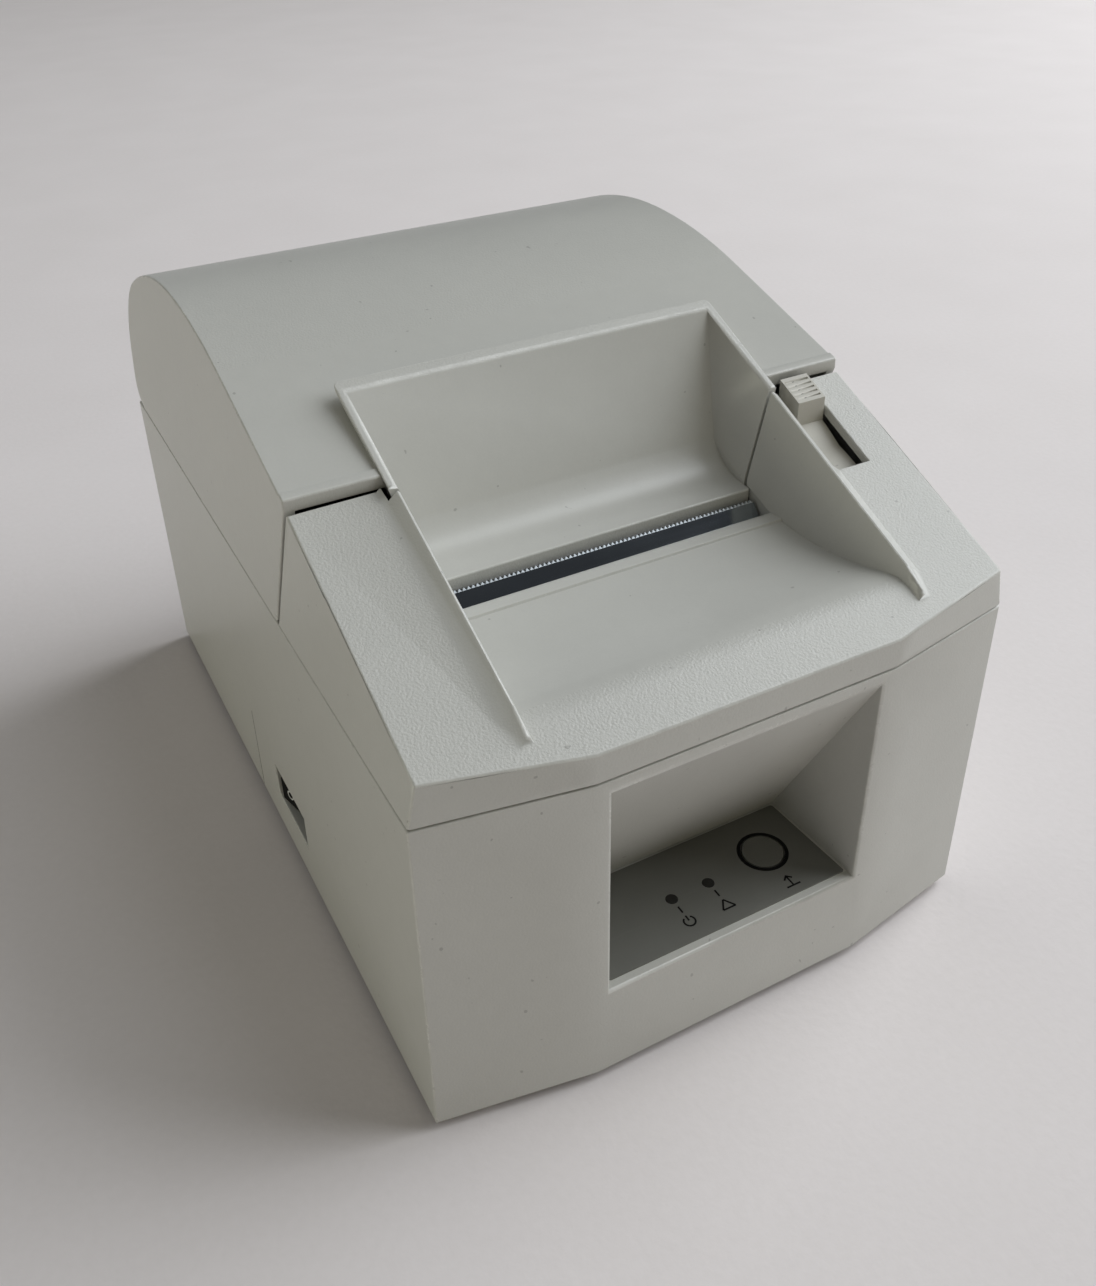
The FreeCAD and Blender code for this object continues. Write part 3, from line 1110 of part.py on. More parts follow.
def make_motor():
    can = rod("motor_can", "X", ("-frame_half", MOTOR_Y, "motor_height"), "motor_radius", "motor_length")
    bearing = rod("motor_bearing", "X", ("-frame_half", MOTOR_Y, "motor_height"),
                  "motor_shaft_radius + running_gap",
                  "motor_bearing_depth")
    return cut("stepper_motor", can, bearing)


def make_motor_shaft():
    return rod("motor_shaft", "X", ("-%s" % GEAR_OUT, MOTOR_Y, "motor_height"), "motor_shaft_radius",
               "%s - frame_half + motor_bearing_depth - free_gap" % GEAR_OUT)


# Platen in the rear cover
def make_platen_roller():
    at = ("-platen_half", PLATEN_Y, "platen_height")
    return cut("platen_roller", rod("platen_sleeve", "X", at, "platen_radius", "platen_half*2"),
               rod("platen_core", "X", at, "shaft_radius", "platen_half*2"))


def make_platen_shaft():
    return rod("platen_shaft", "X", ("-%s" % GEAR_OUT, PLATEN_Y, "platen_height"), "shaft_radius",
               "%s + %s" % (GEAR_OUT, BUSH_END))


def make_bushes():
    inner = "(platen_half + ear_gap)"

    def bush(name, side):
        low = span(side, inner, BUSH_END)[0]
        length = "%s - %s" % (BUSH_END, inner)
        return cut(name, rod(name + "_body", "X", (low, PLATEN_Y, "platen_height"), "bush_radius", length),
                   rod(name + "_bore", "X", (low, PLATEN_Y, "platen_height"), "shaft_radius + running_gap",
                       length))

    return group("platen_bushes", *two_sides(bush, "platen_bush"))


def make_platen_holder():
    plate = box("holder_plate",
                ("-(platen_half + ear_gap)", "%s - holder_front" % PLATEN_Y,
                 "holder_top - holder_thick"),
                ("platen_half + ear_gap", "%s + holder_back" % PLATEN_Y, "holder_top"))

    def ear(name, side):
        low, high = span(side, "platen_half + ear_gap", "platen_half + ear_gap + sheet_thick")
        return prism(name, "YZ", [[
            ("%s - holder_ear" % PLATEN_Y, "platen_height"),
            (PLATEN_Y, "platen_height - holder_ear", "holder_ear", 1),
            ("%s + holder_ear" % PLATEN_Y, "platen_height", "holder_ear", 1),
            ("%s + holder_ear" % PLATEN_Y, "holder_top"), ("%s - holder_ear" % PLATEN_Y, "holder_top"),
        ], circle(PLATEN_Y, "platen_height", "bush_radius")], low, high)

    holes = [rod("holder_screw_hole_" + word, "Z",
                 (sided("holder_screw_at", side), HOLDER_SCREW_Y, "parting_height"),
                 "screw_radius", "parting_height/4") for word, side in (("left", -1), ("right", 1))]
    return cut("platen_holder", fuse("holder_solid", plate, *two_sides(ear, "holder_ear_plate")), *holes)


def make_holder_screws():
    screws = [screw("holder_screw_" + word, sided("holder_screw_at", side), HOLDER_SCREW_Y,
                    "holder_top - holder_thick", "holder_hole_depth")
              for word, side in (("left", -1), ("right", 1))]
    return group("holder_screws", *screws)


def make_hinge_pins():
    def pin(name, side):
        low = span(side, "ear_inner", "lug_inner + lug_thick")[0]
        return rod(name, "X", (low, HINGE_Y, "hinge_height"), "hinge_pin_radius",
                   "lug_inner + lug_thick - ear_inner")

    return group("hinge_pins", *two_sides(pin, "hinge_pin"))


# Latch and its lever
LEVER_MIDDLE = "((lever_left + lever_right)/2)"


def make_latch_shaft():
    return rod("latch_shaft", "X", ("-%s" % HOOK_OUT, LATCH_Y, "latch_height"), "latch_radius",
               "%s + lever_right" % HOOK_OUT)


def make_latch_hooks():
    grip = "(bush_radius + free_gap)"
    front = "(%s - %s - hook_arm)" % (PLATEN_Y, grip)
    tip = "(%s + hook_reach)" % PLATEN_Y
    tip_low = "(platen_height + sqrt(%s*%s - hook_reach*hook_reach))" % (grip, grip)

    def hook(name, side):
        low, high = span(side, HOOK_IN, HOOK_OUT)
        return prism(name, "YZ", [[
            ("%s + hook_boss" % LATCH_Y, "latch_height", "hook_boss", 1),
            ("%s - %s" % (PLATEN_Y, grip), "platen_height"),
            (tip, tip_low, grip, -1), (tip, "platen_height + %s + hook_tip/2" % grip),
            ("%s - hook_tip/2" % tip, "platen_height + %s + hook_tip" % grip),
            ("%s + hook_tip/2" % front, "platen_height + %s + hook_tip" % grip),
            (front, "platen_height + hook_tip"),
            ("%s - hook_boss" % LATCH_Y, "latch_height"),
            (LATCH_Y, "latch_height - hook_boss", "hook_boss", 1),
        ], circle(LATCH_Y, "latch_height", "latch_radius")], low, high)

    return group("latch_hooks", *two_sides(hook, "latch_hook"))


def make_open_lever():
    def on_skirt(radius, angle):
        """A point of the curved skirt, an angle forward of straight up."""
        return ("%s - (%s)*sin(%s)" % (LATCH_Y, radius, angle),
                "latch_height + (%s)*cos(%s)" % (radius, angle))

    outer, inner = "lever_skirt_radius", "lever_skirt_radius - lever_skirt_thick"
    skirt_middle = "latch_height + lever_skirt_radius - lever_skirt_thick/2"
    skirt = prism("lever_skirt", "YZ", [[
        on_skirt(outer, "lever_skirt_lead"), (*on_skirt(outer, "-lever_skirt_tail"), outer, -1),
        on_skirt(inner, "-lever_skirt_tail"), (*on_skirt(inner, "lever_skirt_lead"), inner, 1)]],
        "lever_skirt_left", "lever_skirt_right")
    arm = prism("lever_arm", "YZ", [[
        ("%s - lever_arm_wide/2" % LATCH_Y, "latch_height"),
        ("%s + lever_arm_wide/2" % LATCH_Y, "latch_height"),
        ("%s + lever_arm_wide/4" % LATCH_Y, skirt_middle),
        ("%s - lever_arm_wide/4" % LATCH_Y, skirt_middle)]],
        "%s - lever_arm_thick/2" % LEVER_MIDDLE, "%s + lever_arm_thick/2" % LEVER_MIDDLE)
    hub = rod("lever_hub", "X", ("%s - lever_hub_half" % LEVER_MIDDLE, LATCH_Y, "latch_height"),
              "lever_hub_radius",
              "lever_hub_half*2")
    knob = prism("lever_knob", "YZ", [[
        (from_face("knob_front"), skirt_middle), (from_face("knob_back"), skirt_middle),
        (from_face("knob_back"), cover_top("knob_back", "knob_rise")),
        (from_face("knob_front"), cover_top("knob_front", "knob_rise"))]], "lever_left", "lever_right")
    bore = rod("lever_bore", "X", ("0", LATCH_Y, "latch_height"), "latch_radius", HALF)
    return cut("open_lever", fuse("lever_solid", skirt, arm, hub, knob), bore)


def make_lever_spring():
    at = ("%s + gear_gap" % HOOK_OUT, LATCH_Y, "latch_height")
    return cut("lever_spring", rod("lever_coil", "X", at, "lever_spring_radius", "lever_spring_length"),
               rod("lever_coil_bore", "X", at, "latch_radius", "lever_spring_length"))


# Roll bin
BIN_Y = from_face("bin_from_face")


def bin_half_chord(radius, height):
    """Half the width of the bin's round at a height."""
    return "sqrt(pow(%s; 2) - pow(%s - bin_height; 2))" % (radius, height)


def make_paper_bin():
    outer = "bin_radius + bin_wall"
    inner_edge = bin_half_chord("bin_radius", "bin_rim")
    guide_y = from_face("guide_front")
    trough_body = prism("bin_trough", "YZ", [[
        ("%s + %s" % (BIN_Y, bin_half_chord("(%s)" % outer, "bin_rim")), "bin_rim", outer, 1),
        ("%s + %s" % (BIN_Y, inner_edge), "bin_rim"),
        (BIN_Y, "bin_height - bin_radius", "bin_radius", -1),
        ("%s - %s" % (BIN_Y, inner_edge), "bin_rim", "bin_radius", -1),
        (guide_y, "guide_front_height"), (guide_y, "guide_front_height - bin_wall"),
        ("%s - %s" % (BIN_Y, bin_half_chord("(%s)" % outer, "(bin_rim - bin_wall)")), "bin_rim - bin_wall"),
        (BIN_Y, "bin_height - (%s)" % outer, outer, 1),
    ]], "-(bin_half + bin_wall)", "bin_half + bin_wall")

    def end_wall(name, side):
        low, high = span(side, "bin_half", "bin_half + bin_wall")
        middle = "(bin_radius + bin_wall/2)"
        edge = bin_half_chord(middle, "bin_rim")
        return prism(name, "YZ", [[
            ("%s - %s" % (BIN_Y, edge), "bin_rim"), (BIN_Y, "bin_height - %s" % middle, middle, 1),
            ("%s + %s" % (BIN_Y, edge), "bin_rim", middle, 1)]], low, high)

    def bracket(name, side):
        """An arm from the bin to the side wall of the case."""
        low, high = span(side, "bin_half + bin_wall/2", "%s - wall" % TOP_HALF)
        return box(name, (low, "%s - bin_pillar" % BIN_Y, "bin_rim - bin_wall*2"),
                   (high, "%s + bin_pillar" % BIN_Y, "bin_rim"))

    return fuse("paper_bin", trough_body, *two_sides(end_wall, "bin_end"),
                *two_sides(bracket, "bin_bracket"))


def make_paper_sensor():
    top = "(guide_front_height - bin_wall)"
    return box("paper_sensor", ("-sensor_size/2", from_face("guide_front"), "%s - sensor_tall" % top),
               ("sensor_size/2", from_face("guide_front + sensor_size"), top))


# Boards and connectors
BOARD_TOP = "(main_board_height + board_thick)"


def make_main_board():
    return box("main_board", ("main_board_left", from_face("main_board_front"), "main_board_height"),
               ("main_board_right", from_face("main_board_back"), BOARD_TOP))


def make_board_components():
    near = from_face("main_board_front + chip_size")
    chip = box("board_chip", ("-chip_size/2", near, BOARD_TOP),
               ("chip_size/2", "%s + chip_size" % near, "%s + chip_thick" % BOARD_TOP))
    capacitors = [rod("board_capacitor_%d" % number, "Z",
                      ("main_board_right - capacitor_radius*2",
                       "%s + capacitor_radius*%d" % (near, 3 * number), BOARD_TOP),
                      "capacitor_radius", "capacitor_height") for number in range(2)]
    return group("board_components", chip, *capacitors)


PORTS = {
    "dc_inlet": ("inlet_at", "inlet_size", "inlet_tall"),
    "drawer_port": ("drawer_at", "drawer_size", "drawer_tall"),
    "interface_port": ("interface_at", "interface_size", "interface_tall"),
}
PORT_BACK = "(%s - wall + port_stand_out)" % REAR


def port_block(name, grow, start, end):
    at, wide, tall = PORTS[name]
    return ("%s - %s/2 - %s" % (at, wide, grow), start, "%s - %s" % (BOARD_TOP, grow)), (
        "%s + %s/2 + %s" % (at, wide, grow), end, "%s + %s + %s" % (BOARD_TOP, tall, grow))


def make_interface_panel():
    plate = box("panel_sheet_body",
                ("-(port_half + panel_overlap)", "%s - wall - panel_sheet" % REAR,
                 "port_low - panel_overlap"),
                ("port_half + panel_overlap", "%s - wall" % REAR, "port_high + panel_overlap"))
    windows = [box(name + "_window", *port_block(name, "fit_gap", "0", REAR)) for name in PORTS]
    holes = [rod("panel_hole_" + word, "Y",
                 (sided("panel_screw_at", side), "0", "port_high - panel_overlap*2"),
                 "screw_radius", REAR) for word, side in (("left", -1), ("right", 1))]
    return cut("interface_panel", plate, *windows, *holes)


def make_panel_screws():
    screws = []
    for word, side in (("left", -1), ("right", 1)):
        name = "panel_screw_" + word
        x = sided("panel_screw_at", side)
        z = "port_high - panel_overlap*2"
        screws.append(fuse(name,
                           rod(name + "_head", "Y", (x, "%s - wall" % REAR, z), "screw_head_radius",
                               "screw_head_thick"),
                           rod(name + "_shank", "Y", (x, "%s - wall - screw_length" % REAR, z),
                               "screw_radius", "screw_length")))
    return group("panel_screws", *screws)


def make_port(name, tongue_half, tongue_middle):
    """A socket that is open at the back, with a tongue of contacts inside."""
    at = PORTS[name][0]
    block = box(name + "_block", *port_block(name, "0", "%s - port_depth" % PORT_BACK, PORT_BACK))
    well = box(name + "_well",
               *port_block(name, "-port_wall", "%s - socket_depth" % PORT_BACK, "%s + wall" % PORT_BACK))
    tongue = box(name + "_tongue",
                 ("%s - %s" % (at, tongue_half), "%s - socket_depth" % PORT_BACK,
                  "%s - tongue_thick/2" % tongue_middle),
                 ("%s + %s" % (at, tongue_half), "%s - tongue_back" % PORT_BACK,
                  "%s + tongue_thick/2" % tongue_middle))
    return fuse(name, cut(name + "_shell", block, well), tongue)


def make_dc_inlet():
    at, tall = PORTS["dc_inlet"][0], PORTS["dc_inlet"][2]
    block = box("inlet_block", *port_block("dc_inlet", "0", "%s - port_depth" % PORT_BACK, PORT_BACK))
    middle = "%s + %s/2" % (BOARD_TOP, tall)
    start = "%s - socket_depth" % PORT_BACK
    well = rod("inlet_well", "Y", (at, start, middle), "inlet_tall/2 - port_wall", "socket_depth + wall")
    pins = [rod("inlet_pin_%d" % number, "Y",
                ("%s + contact_pitch*%d" % (at, number), start, middle), "contact_radius",
                "socket_depth - contact_back")
            for number in (-1, 0, 1)]
    return fuse("dc_inlet", cut("inlet_shell", block, well), *pins)


# All sub-parts, each under its own label
parts = [
    make_lower_case(), make_bottom_plate(), make_feet(), make_bottom_screws(), make_front_cover(),
    make_rear_cover(),
    make_panel_label(), make_led("power_led", "power_led_at"), make_led("error_led", "error_led_at"),
    make_feed_button(), make_feed_switch(), make_panel_board(), make_switch_body(), make_rocker(),
    make_mechanism_frame(), make_spring_bar(), make_tear_bar(), make_tear_screws(), make_thermal_head(),
    make_heatsink(), make_head_springs(), make_motor(), make_motor_shaft(), make_idler_post(),
    gear("platen_gear", "platen_teeth", 0, PLATEN_Y, "platen_height", "shaft_radius"),
    gear("idler_gear", "idler_teeth", IDLER_TURN, IDLER_Y, "idler_height", "shaft_radius + running_gap"),
    gear("motor_pinion", "pinion_teeth", PINION_TURN, MOTOR_Y, "motor_height", "motor_shaft_radius"),
    make_platen_roller(), make_platen_shaft(), make_bushes(), make_platen_holder(), make_holder_screws(),
    make_hinge_pins(), make_latch_shaft(), make_latch_hooks(), make_open_lever(), make_lever_spring(),
    make_paper_bin(), make_paper_sensor(), make_main_board(), make_board_components(),
    make_interface_panel(),
    make_panel_screws(), make_dc_inlet(),
    make_port("drawer_port", "drawer_tongue", "%s + drawer_tall - port_wall" % BOARD_TOP),
    make_port("interface_port", "interface_tongue", "%s + interface_tall/2" % BOARD_TOP),
]
doc.recompute()

# Stop if anything failed, then write one file per sub-part
for thing in doc.Objects:
    if "Invalid" in thing.State or "Error" in thing.State:
        raise RuntimeError("%s did not build: %s" % (thing.Name, thing.State))
os.makedirs("parts", exist_ok=True)
for part in parts:
    part.Label = part.Name
    if part.Shape.isNull() or not part.Shape.isValid():
        raise RuntimeError("%s has no valid shape" % part.Label)
    part.Shape.exportStep("parts/%s.step" % part.Label)
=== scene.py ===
import json
import math

import bmesh
import bpy
from mathutils import Matrix, Vector


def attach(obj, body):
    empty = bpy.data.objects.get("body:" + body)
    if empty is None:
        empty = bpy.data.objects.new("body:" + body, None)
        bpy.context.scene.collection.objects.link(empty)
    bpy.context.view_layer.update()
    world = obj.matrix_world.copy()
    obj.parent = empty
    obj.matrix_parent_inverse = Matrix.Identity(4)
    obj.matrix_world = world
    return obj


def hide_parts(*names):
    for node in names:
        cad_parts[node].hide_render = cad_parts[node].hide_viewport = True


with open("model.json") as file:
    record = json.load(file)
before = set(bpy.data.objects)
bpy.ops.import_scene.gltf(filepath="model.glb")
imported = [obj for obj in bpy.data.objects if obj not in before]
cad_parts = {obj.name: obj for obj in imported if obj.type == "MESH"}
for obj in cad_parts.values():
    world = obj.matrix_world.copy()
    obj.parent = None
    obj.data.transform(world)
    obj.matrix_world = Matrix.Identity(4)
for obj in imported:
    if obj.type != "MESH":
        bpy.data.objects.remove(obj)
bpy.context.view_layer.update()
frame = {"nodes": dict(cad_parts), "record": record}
nodes = frame["nodes"]
mm = 0.001
print("frame loaded with", len(nodes), "nodes")


class Wire:
    # a shader socket that can be used in plain sums
    def __init__(self, tree, socket):
        self.tree = tree
        self.socket = socket

    def math(self, operation, first, second):
        made = self.tree.nodes.new("ShaderNodeMath")
        made.operation = operation
        for socket, value in zip(made.inputs, (first, second)):
            if isinstance(value, Wire):
                self.tree.links.new(value.socket, socket)
            else:
                socket.default_value = value
        return Wire(self.tree, made.outputs[0])

    def __add__(self, other):
        return self.math("ADD", self, other)

    def __radd__(self, other):
        return self.math("ADD", other, self)

    def __sub__(self, other):
        return self.math("SUBTRACT", self, other)

    def __rsub__(self, other):
        return self.math("SUBTRACT", other, self)

    def __mul__(self, other):
        return self.math("MULTIPLY", self, other)

    def __rmul__(self, other):
        return self.math("MULTIPLY", other, self)


class Finish:
    # one procedural material; every node it needs comes from node()
    def __init__(self, name):
        self.material = bpy.data.materials.new(name)
        self.material.use_nodes = True
        self.tree = self.material.node_tree
        self.tree.nodes.clear()
        self.place = self.node("TexCoord", {}, {}, "Object")

    def node(self, kind, settings, inputs, output=0):
        made = self.tree.nodes.new("ShaderNode" + kind)
        for name, value in settings.items():
            setattr(made, name, value)
        for name, value in inputs.items():
            if isinstance(value, Wire):
                self.tree.links.new(value.socket, made.inputs[name])
            elif isinstance(value, tuple) and made.inputs[name].type == "RGBA":
                made.inputs[name].default_value = (*value, 1)
            else:
                made.inputs[name].default_value = value
        return Wire(self.tree, made.outputs[output]) if made.outputs else made

    def noise(self, scale, detail=2.0, stretch=(1, 1, 1)):
        # cloudy pattern around 0.5, scale in cells per metre
        place = self.node("Mapping", {}, {"Vector": self.place, "Scale": stretch})
        return self.node("TexNoise", {}, {"Vector": place, "Scale": scale, "Detail": detail}, "Fac")

    def band(self, value, low, high):
        # 0 below low, 1 above high, smooth between
        return self.node("MapRange", {"interpolation_type": "SMOOTHSTEP"},
                         {"Value": value, "From Min": low, "From Max": high})

    def blend(self, factor, under, over):
        return self.node("Mix", {"data_type": "RGBA"}, {0: factor, 6: under, 7: over}, 2)

    def mark(self, name):
        # what the modelling wrote on the piece, 0 where it wrote nothing
        return self.node("Attribute", {"attribute_name": name}, {}, "Fac")

    def bump(self, height, depth, strength=1.0):
        return self.node("Bump", {}, {"Height": height, "Distance": depth, "Strength": strength})

    def close(self, **inputs):
        named = {key.replace("_", " "): value for key, value in inputs.items()}
        surface = self.node("BsdfPrincipled", {}, named)
        self.node("OutputMaterial", {}, {"Surface": surface})
        return self.material


def tint(shade, factor, lift=0.0):
    return tuple(min(1.0, value * factor + lift) for value in shade)


# In the looks a scale is in cells per metre, and a band is where a pattern starts and where it is full
plasticLook = {"cloudScale": 20, "mottleScale": 240, "speckScale": 620, "speckBand": (0.855, 0.88),
               "wearScale": 160, "wearBand": (0.38, 0.60), "dark": 0.88, "pale": 1.10, "wearAndHighlightLift": 0.03,
               "speckShade": (0.12, 0.11, 0.10), "seamShadowAndDirtShade": (0.10, 0.09, 0.075), "relief": 0.8}


def casePlastic(name, shade, settings):
    # moulded plastic: spark-eroded grain, faint flow clouds, a few dark specks, paler worn edges that on the
    # slot bar also carry a painted highlight, and seams darkened by painted shadow with some dirt
    look = plasticLook
    finish = Finish(name)
    grain = finish.noise(settings["grainScale"], 3.0)
    clouds = finish.noise(look["cloudScale"], 3.0)
    mottle = finish.noise(look["mottleScale"], 2.0)
    speck = finish.band(finish.noise(look["speckScale"], 0.0), *look["speckBand"])
    grained = 1 - finish.mark("polished")
    wearAndHighlight = finish.mark("wornEdgeAndHighlight") * finish.band(finish.noise(look["wearScale"], 3.0), *look["wearBand"])
    tone = finish.blend(clouds * 0.5 + mottle * 0.2 + grain * 0.3,
                        tint(shade, look["dark"]), tint(shade, look["pale"]))
    # paler worn edges; along the slot bar's front edge this mark is also a painted highlight
    tone = finish.blend(wearAndHighlight * 0.6, tone, tint(shade, look["pale"], look["wearAndHighlightLift"]))
    tone = finish.blend(speck * 0.35, tone, look["speckShade"])
    # seam grooves darkened: painted shadow with some dirt
    tone = finish.blend(finish.mark("seamShadowAndDirt") * 0.75, tone, look["seamShadowAndDirtShade"])
    roughness = settings["rough"] + clouds * 0.06 + grain * grained * 0.14 - wearAndHighlight * 0.06
    height = grain * (grained * 0.92 + 0.08) + mottle * 0.10
    return finish.close(Base_Color=tone, Roughness=roughness,
                        Normal=finish.bump(height, settings["grainDepth"], look["relief"]))


filmLook = {"grainScale": 2600, "hazeScale": 55, "scuffScale": 300, "scuffStretch": (0.15, 1, 1),
            "scuffBand": (0.62, 0.78), "dark": 0.85, "pale": 1.1, "scuff": 1.6, "scuffLift": 0.02,
            "grainDepth": 0.012 * mm, "relief": 0.6}


def labelFilm(name, shade, rough, gloss=1.5):
    # printed overlay film: fine screen grain, handling haze and light scuffs
    look = filmLook
    finish = Finish(name)
    grain = finish.noise(look["grainScale"], 2.0)
    haze = finish.noise(look["hazeScale"], 4.0)
    scuff = finish.band(finish.noise(look["scuffScale"], 4.0, look["scuffStretch"]), *look["scuffBand"])
    tone = finish.blend(haze * 0.7 + grain * 0.3, tint(shade, look["dark"]), tint(shade, look["pale"]))
    tone = finish.blend(scuff * 0.10, tone, tint(shade, look["scuff"], look["scuffLift"]))
    return finish.close(Base_Color=tone, Roughness=rough + haze * 0.12 + scuff * 0.08, IOR=gloss,
                        Normal=finish.bump(grain, look["grainDepth"], look["relief"]))


darkLook = {"cloudScale": 60, "wearScale": 300, "wearBand": (0.42, 0.66), "dark": 0.75, "pale": 1.1,
            "wearAndHighlight": 1.7, "wearAndHighlightLift": 0.02, "grainDepth": 0.018 * mm, "relief": 0.7}


def darkPlastic(name, shade, rough, grainScale=1800, gloss=1.5):
    # black or dark moulded plastic, paler along its worn edges
    look = darkLook
    finish = Finish(name)
    grain = finish.noise(grainScale, 2.0)
    clouds = finish.noise(look["cloudScale"], 3.0)
    wearAndHighlight = finish.mark("wornEdgeAndHighlight") * finish.band(finish.noise(look["wearScale"], 3.0), *look["wearBand"])
    tone = finish.blend(clouds * 0.6 + grain * 0.4, tint(shade, look["dark"]), tint(shade, look["pale"]))
    tone = finish.blend(wearAndHighlight * 0.6, tone, tint(shade, look["wearAndHighlight"], look["wearAndHighlightLift"]))
    return finish.close(Base_Color=tone, Roughness=rough + clouds * 0.08 + grain * 0.06, IOR=gloss,
                        Normal=finish.bump(grain, look["grainDepth"], look["relief"]))


rubberLook = {"grainScale": 2400, "dustScale": 180, "dustBand": (0.52, 0.80), "dark": 0.7, "pale": 1.1,
              "dustShade": (0.22, 0.21, 0.20), "grainDepth": 0.03 * mm, "relief": 0.8}


def rubber(name, shade, rough):
    # ground rubber with a little paper dust
    look = rubberLook
    finish = Finish(name)
    grain = finish.noise(look["grainScale"], 3.0)
    dust = finish.band(finish.noise(look["dustScale"], 4.0), *look["dustBand"])
    tone = finish.blend(grain, tint(shade, look["dark"]), tint(shade, look["pale"]))
    tone = finish.blend(dust * 0.25, tone, look["dustShade"])
    return finish.close(Base_Color=tone, Roughness=rough + grain * 0.1,
                        Normal=finish.bump(grain, look["grainDepth"], look["relief"]))


metalLook = {"dark": 0.78, "pale": 1.08, "ground": 1.3, "groundLift": 0.25, "relief": 0.5}


def metal(name, shade, settings):
    # bare metal: drawn lines along one direction, duller patches, pale ground edges
    look = metalLook
    finish = Finish(name)
    lines = finish.noise(settings["lineScale"], 3.0, settings["stretch"])
    patch = finish.noise(settings["patchScale"], 4.0)
    tone = finish.blend(patch * 0.6 + lines * 0.4, tint(shade, look["dark"]), tint(shade, look["pale"]))
    ground = finish.mark("wornEdgeAndHighlight")
    tone = finish.blend(ground * 0.8, tone, tint(shade, look["ground"], look["groundLift"]))
    roughness = settings["rough"] + lines * settings["spread"] + patch * settings["spread"] + ground * 0.4
    return finish.close(Base_Color=tone, Metallic=1.0, Roughness=roughness,
                        Normal=finish.bump(lines, settings["depth"], look["relief"]))


plateLook = {"facetScale": 420.0, "cloudScale": 90, "fineScale": 3000, "dark": 0.8, "pale": 1.06,
             "fineDepth": 0.01 * mm, "relief": 0.5}


def platedSteel(name, shade, rough):
    # zinc plate: small crystal facets under a soft sheen
    look = plateLook
    finish = Finish(name)
    facets = finish.node("TexVoronoi", {}, {"Vector": finish.place, "Scale": look["facetScale"]}, "Color")
    facet = finish.node("RGBToBW", {}, {"Color": facets})
    cloud = finish.noise(look["cloudScale"], 3.0)
    fine = finish.noise(look["fineScale"], 2.0)
    tone = finish.blend(facet * 0.5 + cloud * 0.5, tint(shade, look["dark"]), tint(shade, look["pale"]))
    return finish.close(Base_Color=tone, Metallic=1.0, Roughness=rough + facet * 0.1 + cloud * 0.08,
                        Normal=finish.bump(fine, look["fineDepth"], look["relief"]))


boardLook = {"trackScale": 150.0, "trackOffset": 0.37, "trackSquash": 1.6, "trackWidth": 0.05,
             "padScale": 240.0, "padBand": (0.12, 0.16), "weaveScale": 1500, "rough": 0.30,
             "maskDark": (0.008, 0.075, 0.030), "maskPale": (0.012, 0.095, 0.042),
             "trackShade": (0.020, 0.150, 0.070), "padShade": (0.55, 0.52, 0.45), "depth": 0.02 * mm,
             "relief": 0.6}


def boardLaminate(name):
    # green solder mask over copper tracks, with tinned pads
    look = boardLook
    finish = Finish(name)
    tracks = finish.node("TexBrick", {"offset": look["trackOffset"], "squash": look["trackSquash"]},
                         {"Vector": finish.place, "Scale": look["trackScale"],
                          "Mortar Size": look["trackWidth"], "Color1": (0, 0, 0), "Color2": (0, 0, 0),
                          "Mortar": (1, 1, 1)}, "Color")
    track = finish.node("RGBToBW", {}, {"Color": tracks})
    dots = finish.node("TexVoronoi", {}, {"Vector": finish.place, "Scale": look["padScale"]}, "Distance")
    pad = 1 - finish.band(dots, *look["padBand"])
    weave = finish.noise(look["weaveScale"], 2.0)
    tone = finish.blend(weave * 0.5, look["maskDark"], look["maskPale"])
    tone = finish.blend(track * 0.8, tone, look["trackShade"])
    tone = finish.blend(pad * 0.7, tone, look["padShade"])
    return finish.close(Base_Color=tone, Roughness=look["rough"] + weave * 0.12,
                        Normal=finish.bump(track + pad, look["depth"], look["relief"]))


headLook = {"dotScale": 6000, "dotStretch": (1, 0.1, 0.1), "hazeScale": 120, "dark": (0.030, 0.022, 0.016),
            "pale": (0.075, 0.055, 0.040), "rough": 0.07, "coat": 0.5, "depth": 0.005 * mm, "relief": 0.4}


def headGlass(name):
    # glazed ceramic strip with fine heater dots along it
    look = headLook
    finish = Finish(name)
    dots = finish.noise(look["dotScale"], 1.0, look["dotStretch"])
    haze = finish.noise(look["hazeScale"], 3.0)
    tone = finish.blend(dots * 0.5 + haze * 0.3, look["dark"], look["pale"])
    return finish.close(Base_Color=tone, Roughness=look["rough"] + haze * 0.08, Coat_Weight=look["coat"],
                        Normal=finish.bump(haze, look["depth"], look["relief"]))


tableLook = {"toothScale": 420, "cloudScale": 14, "dark": (0.763, 0.713, 0.696),
             "pale": (0.859, 0.807, 0.797), "rough": 0.85, "gloss": 1.12, "depth": 0.12 * mm, "relief": 0.6}


def tablePaper(name):
    # matt pale table covering with a faint tooth
    look = tableLook
    finish = Finish(name)
    tooth = finish.noise(look["toothScale"], 3.0)
    cloud = finish.noise(look["cloudScale"], 4.0)
    tone = finish.blend(cloud * 0.6 + tooth * 0.4, look["dark"], look["pale"])
    return finish.close(Base_Color=tone, Roughness=look["rough"] + tooth * 0.1, IOR=look["gloss"],
                        Normal=finish.bump(tooth, look["depth"], look["relief"]))


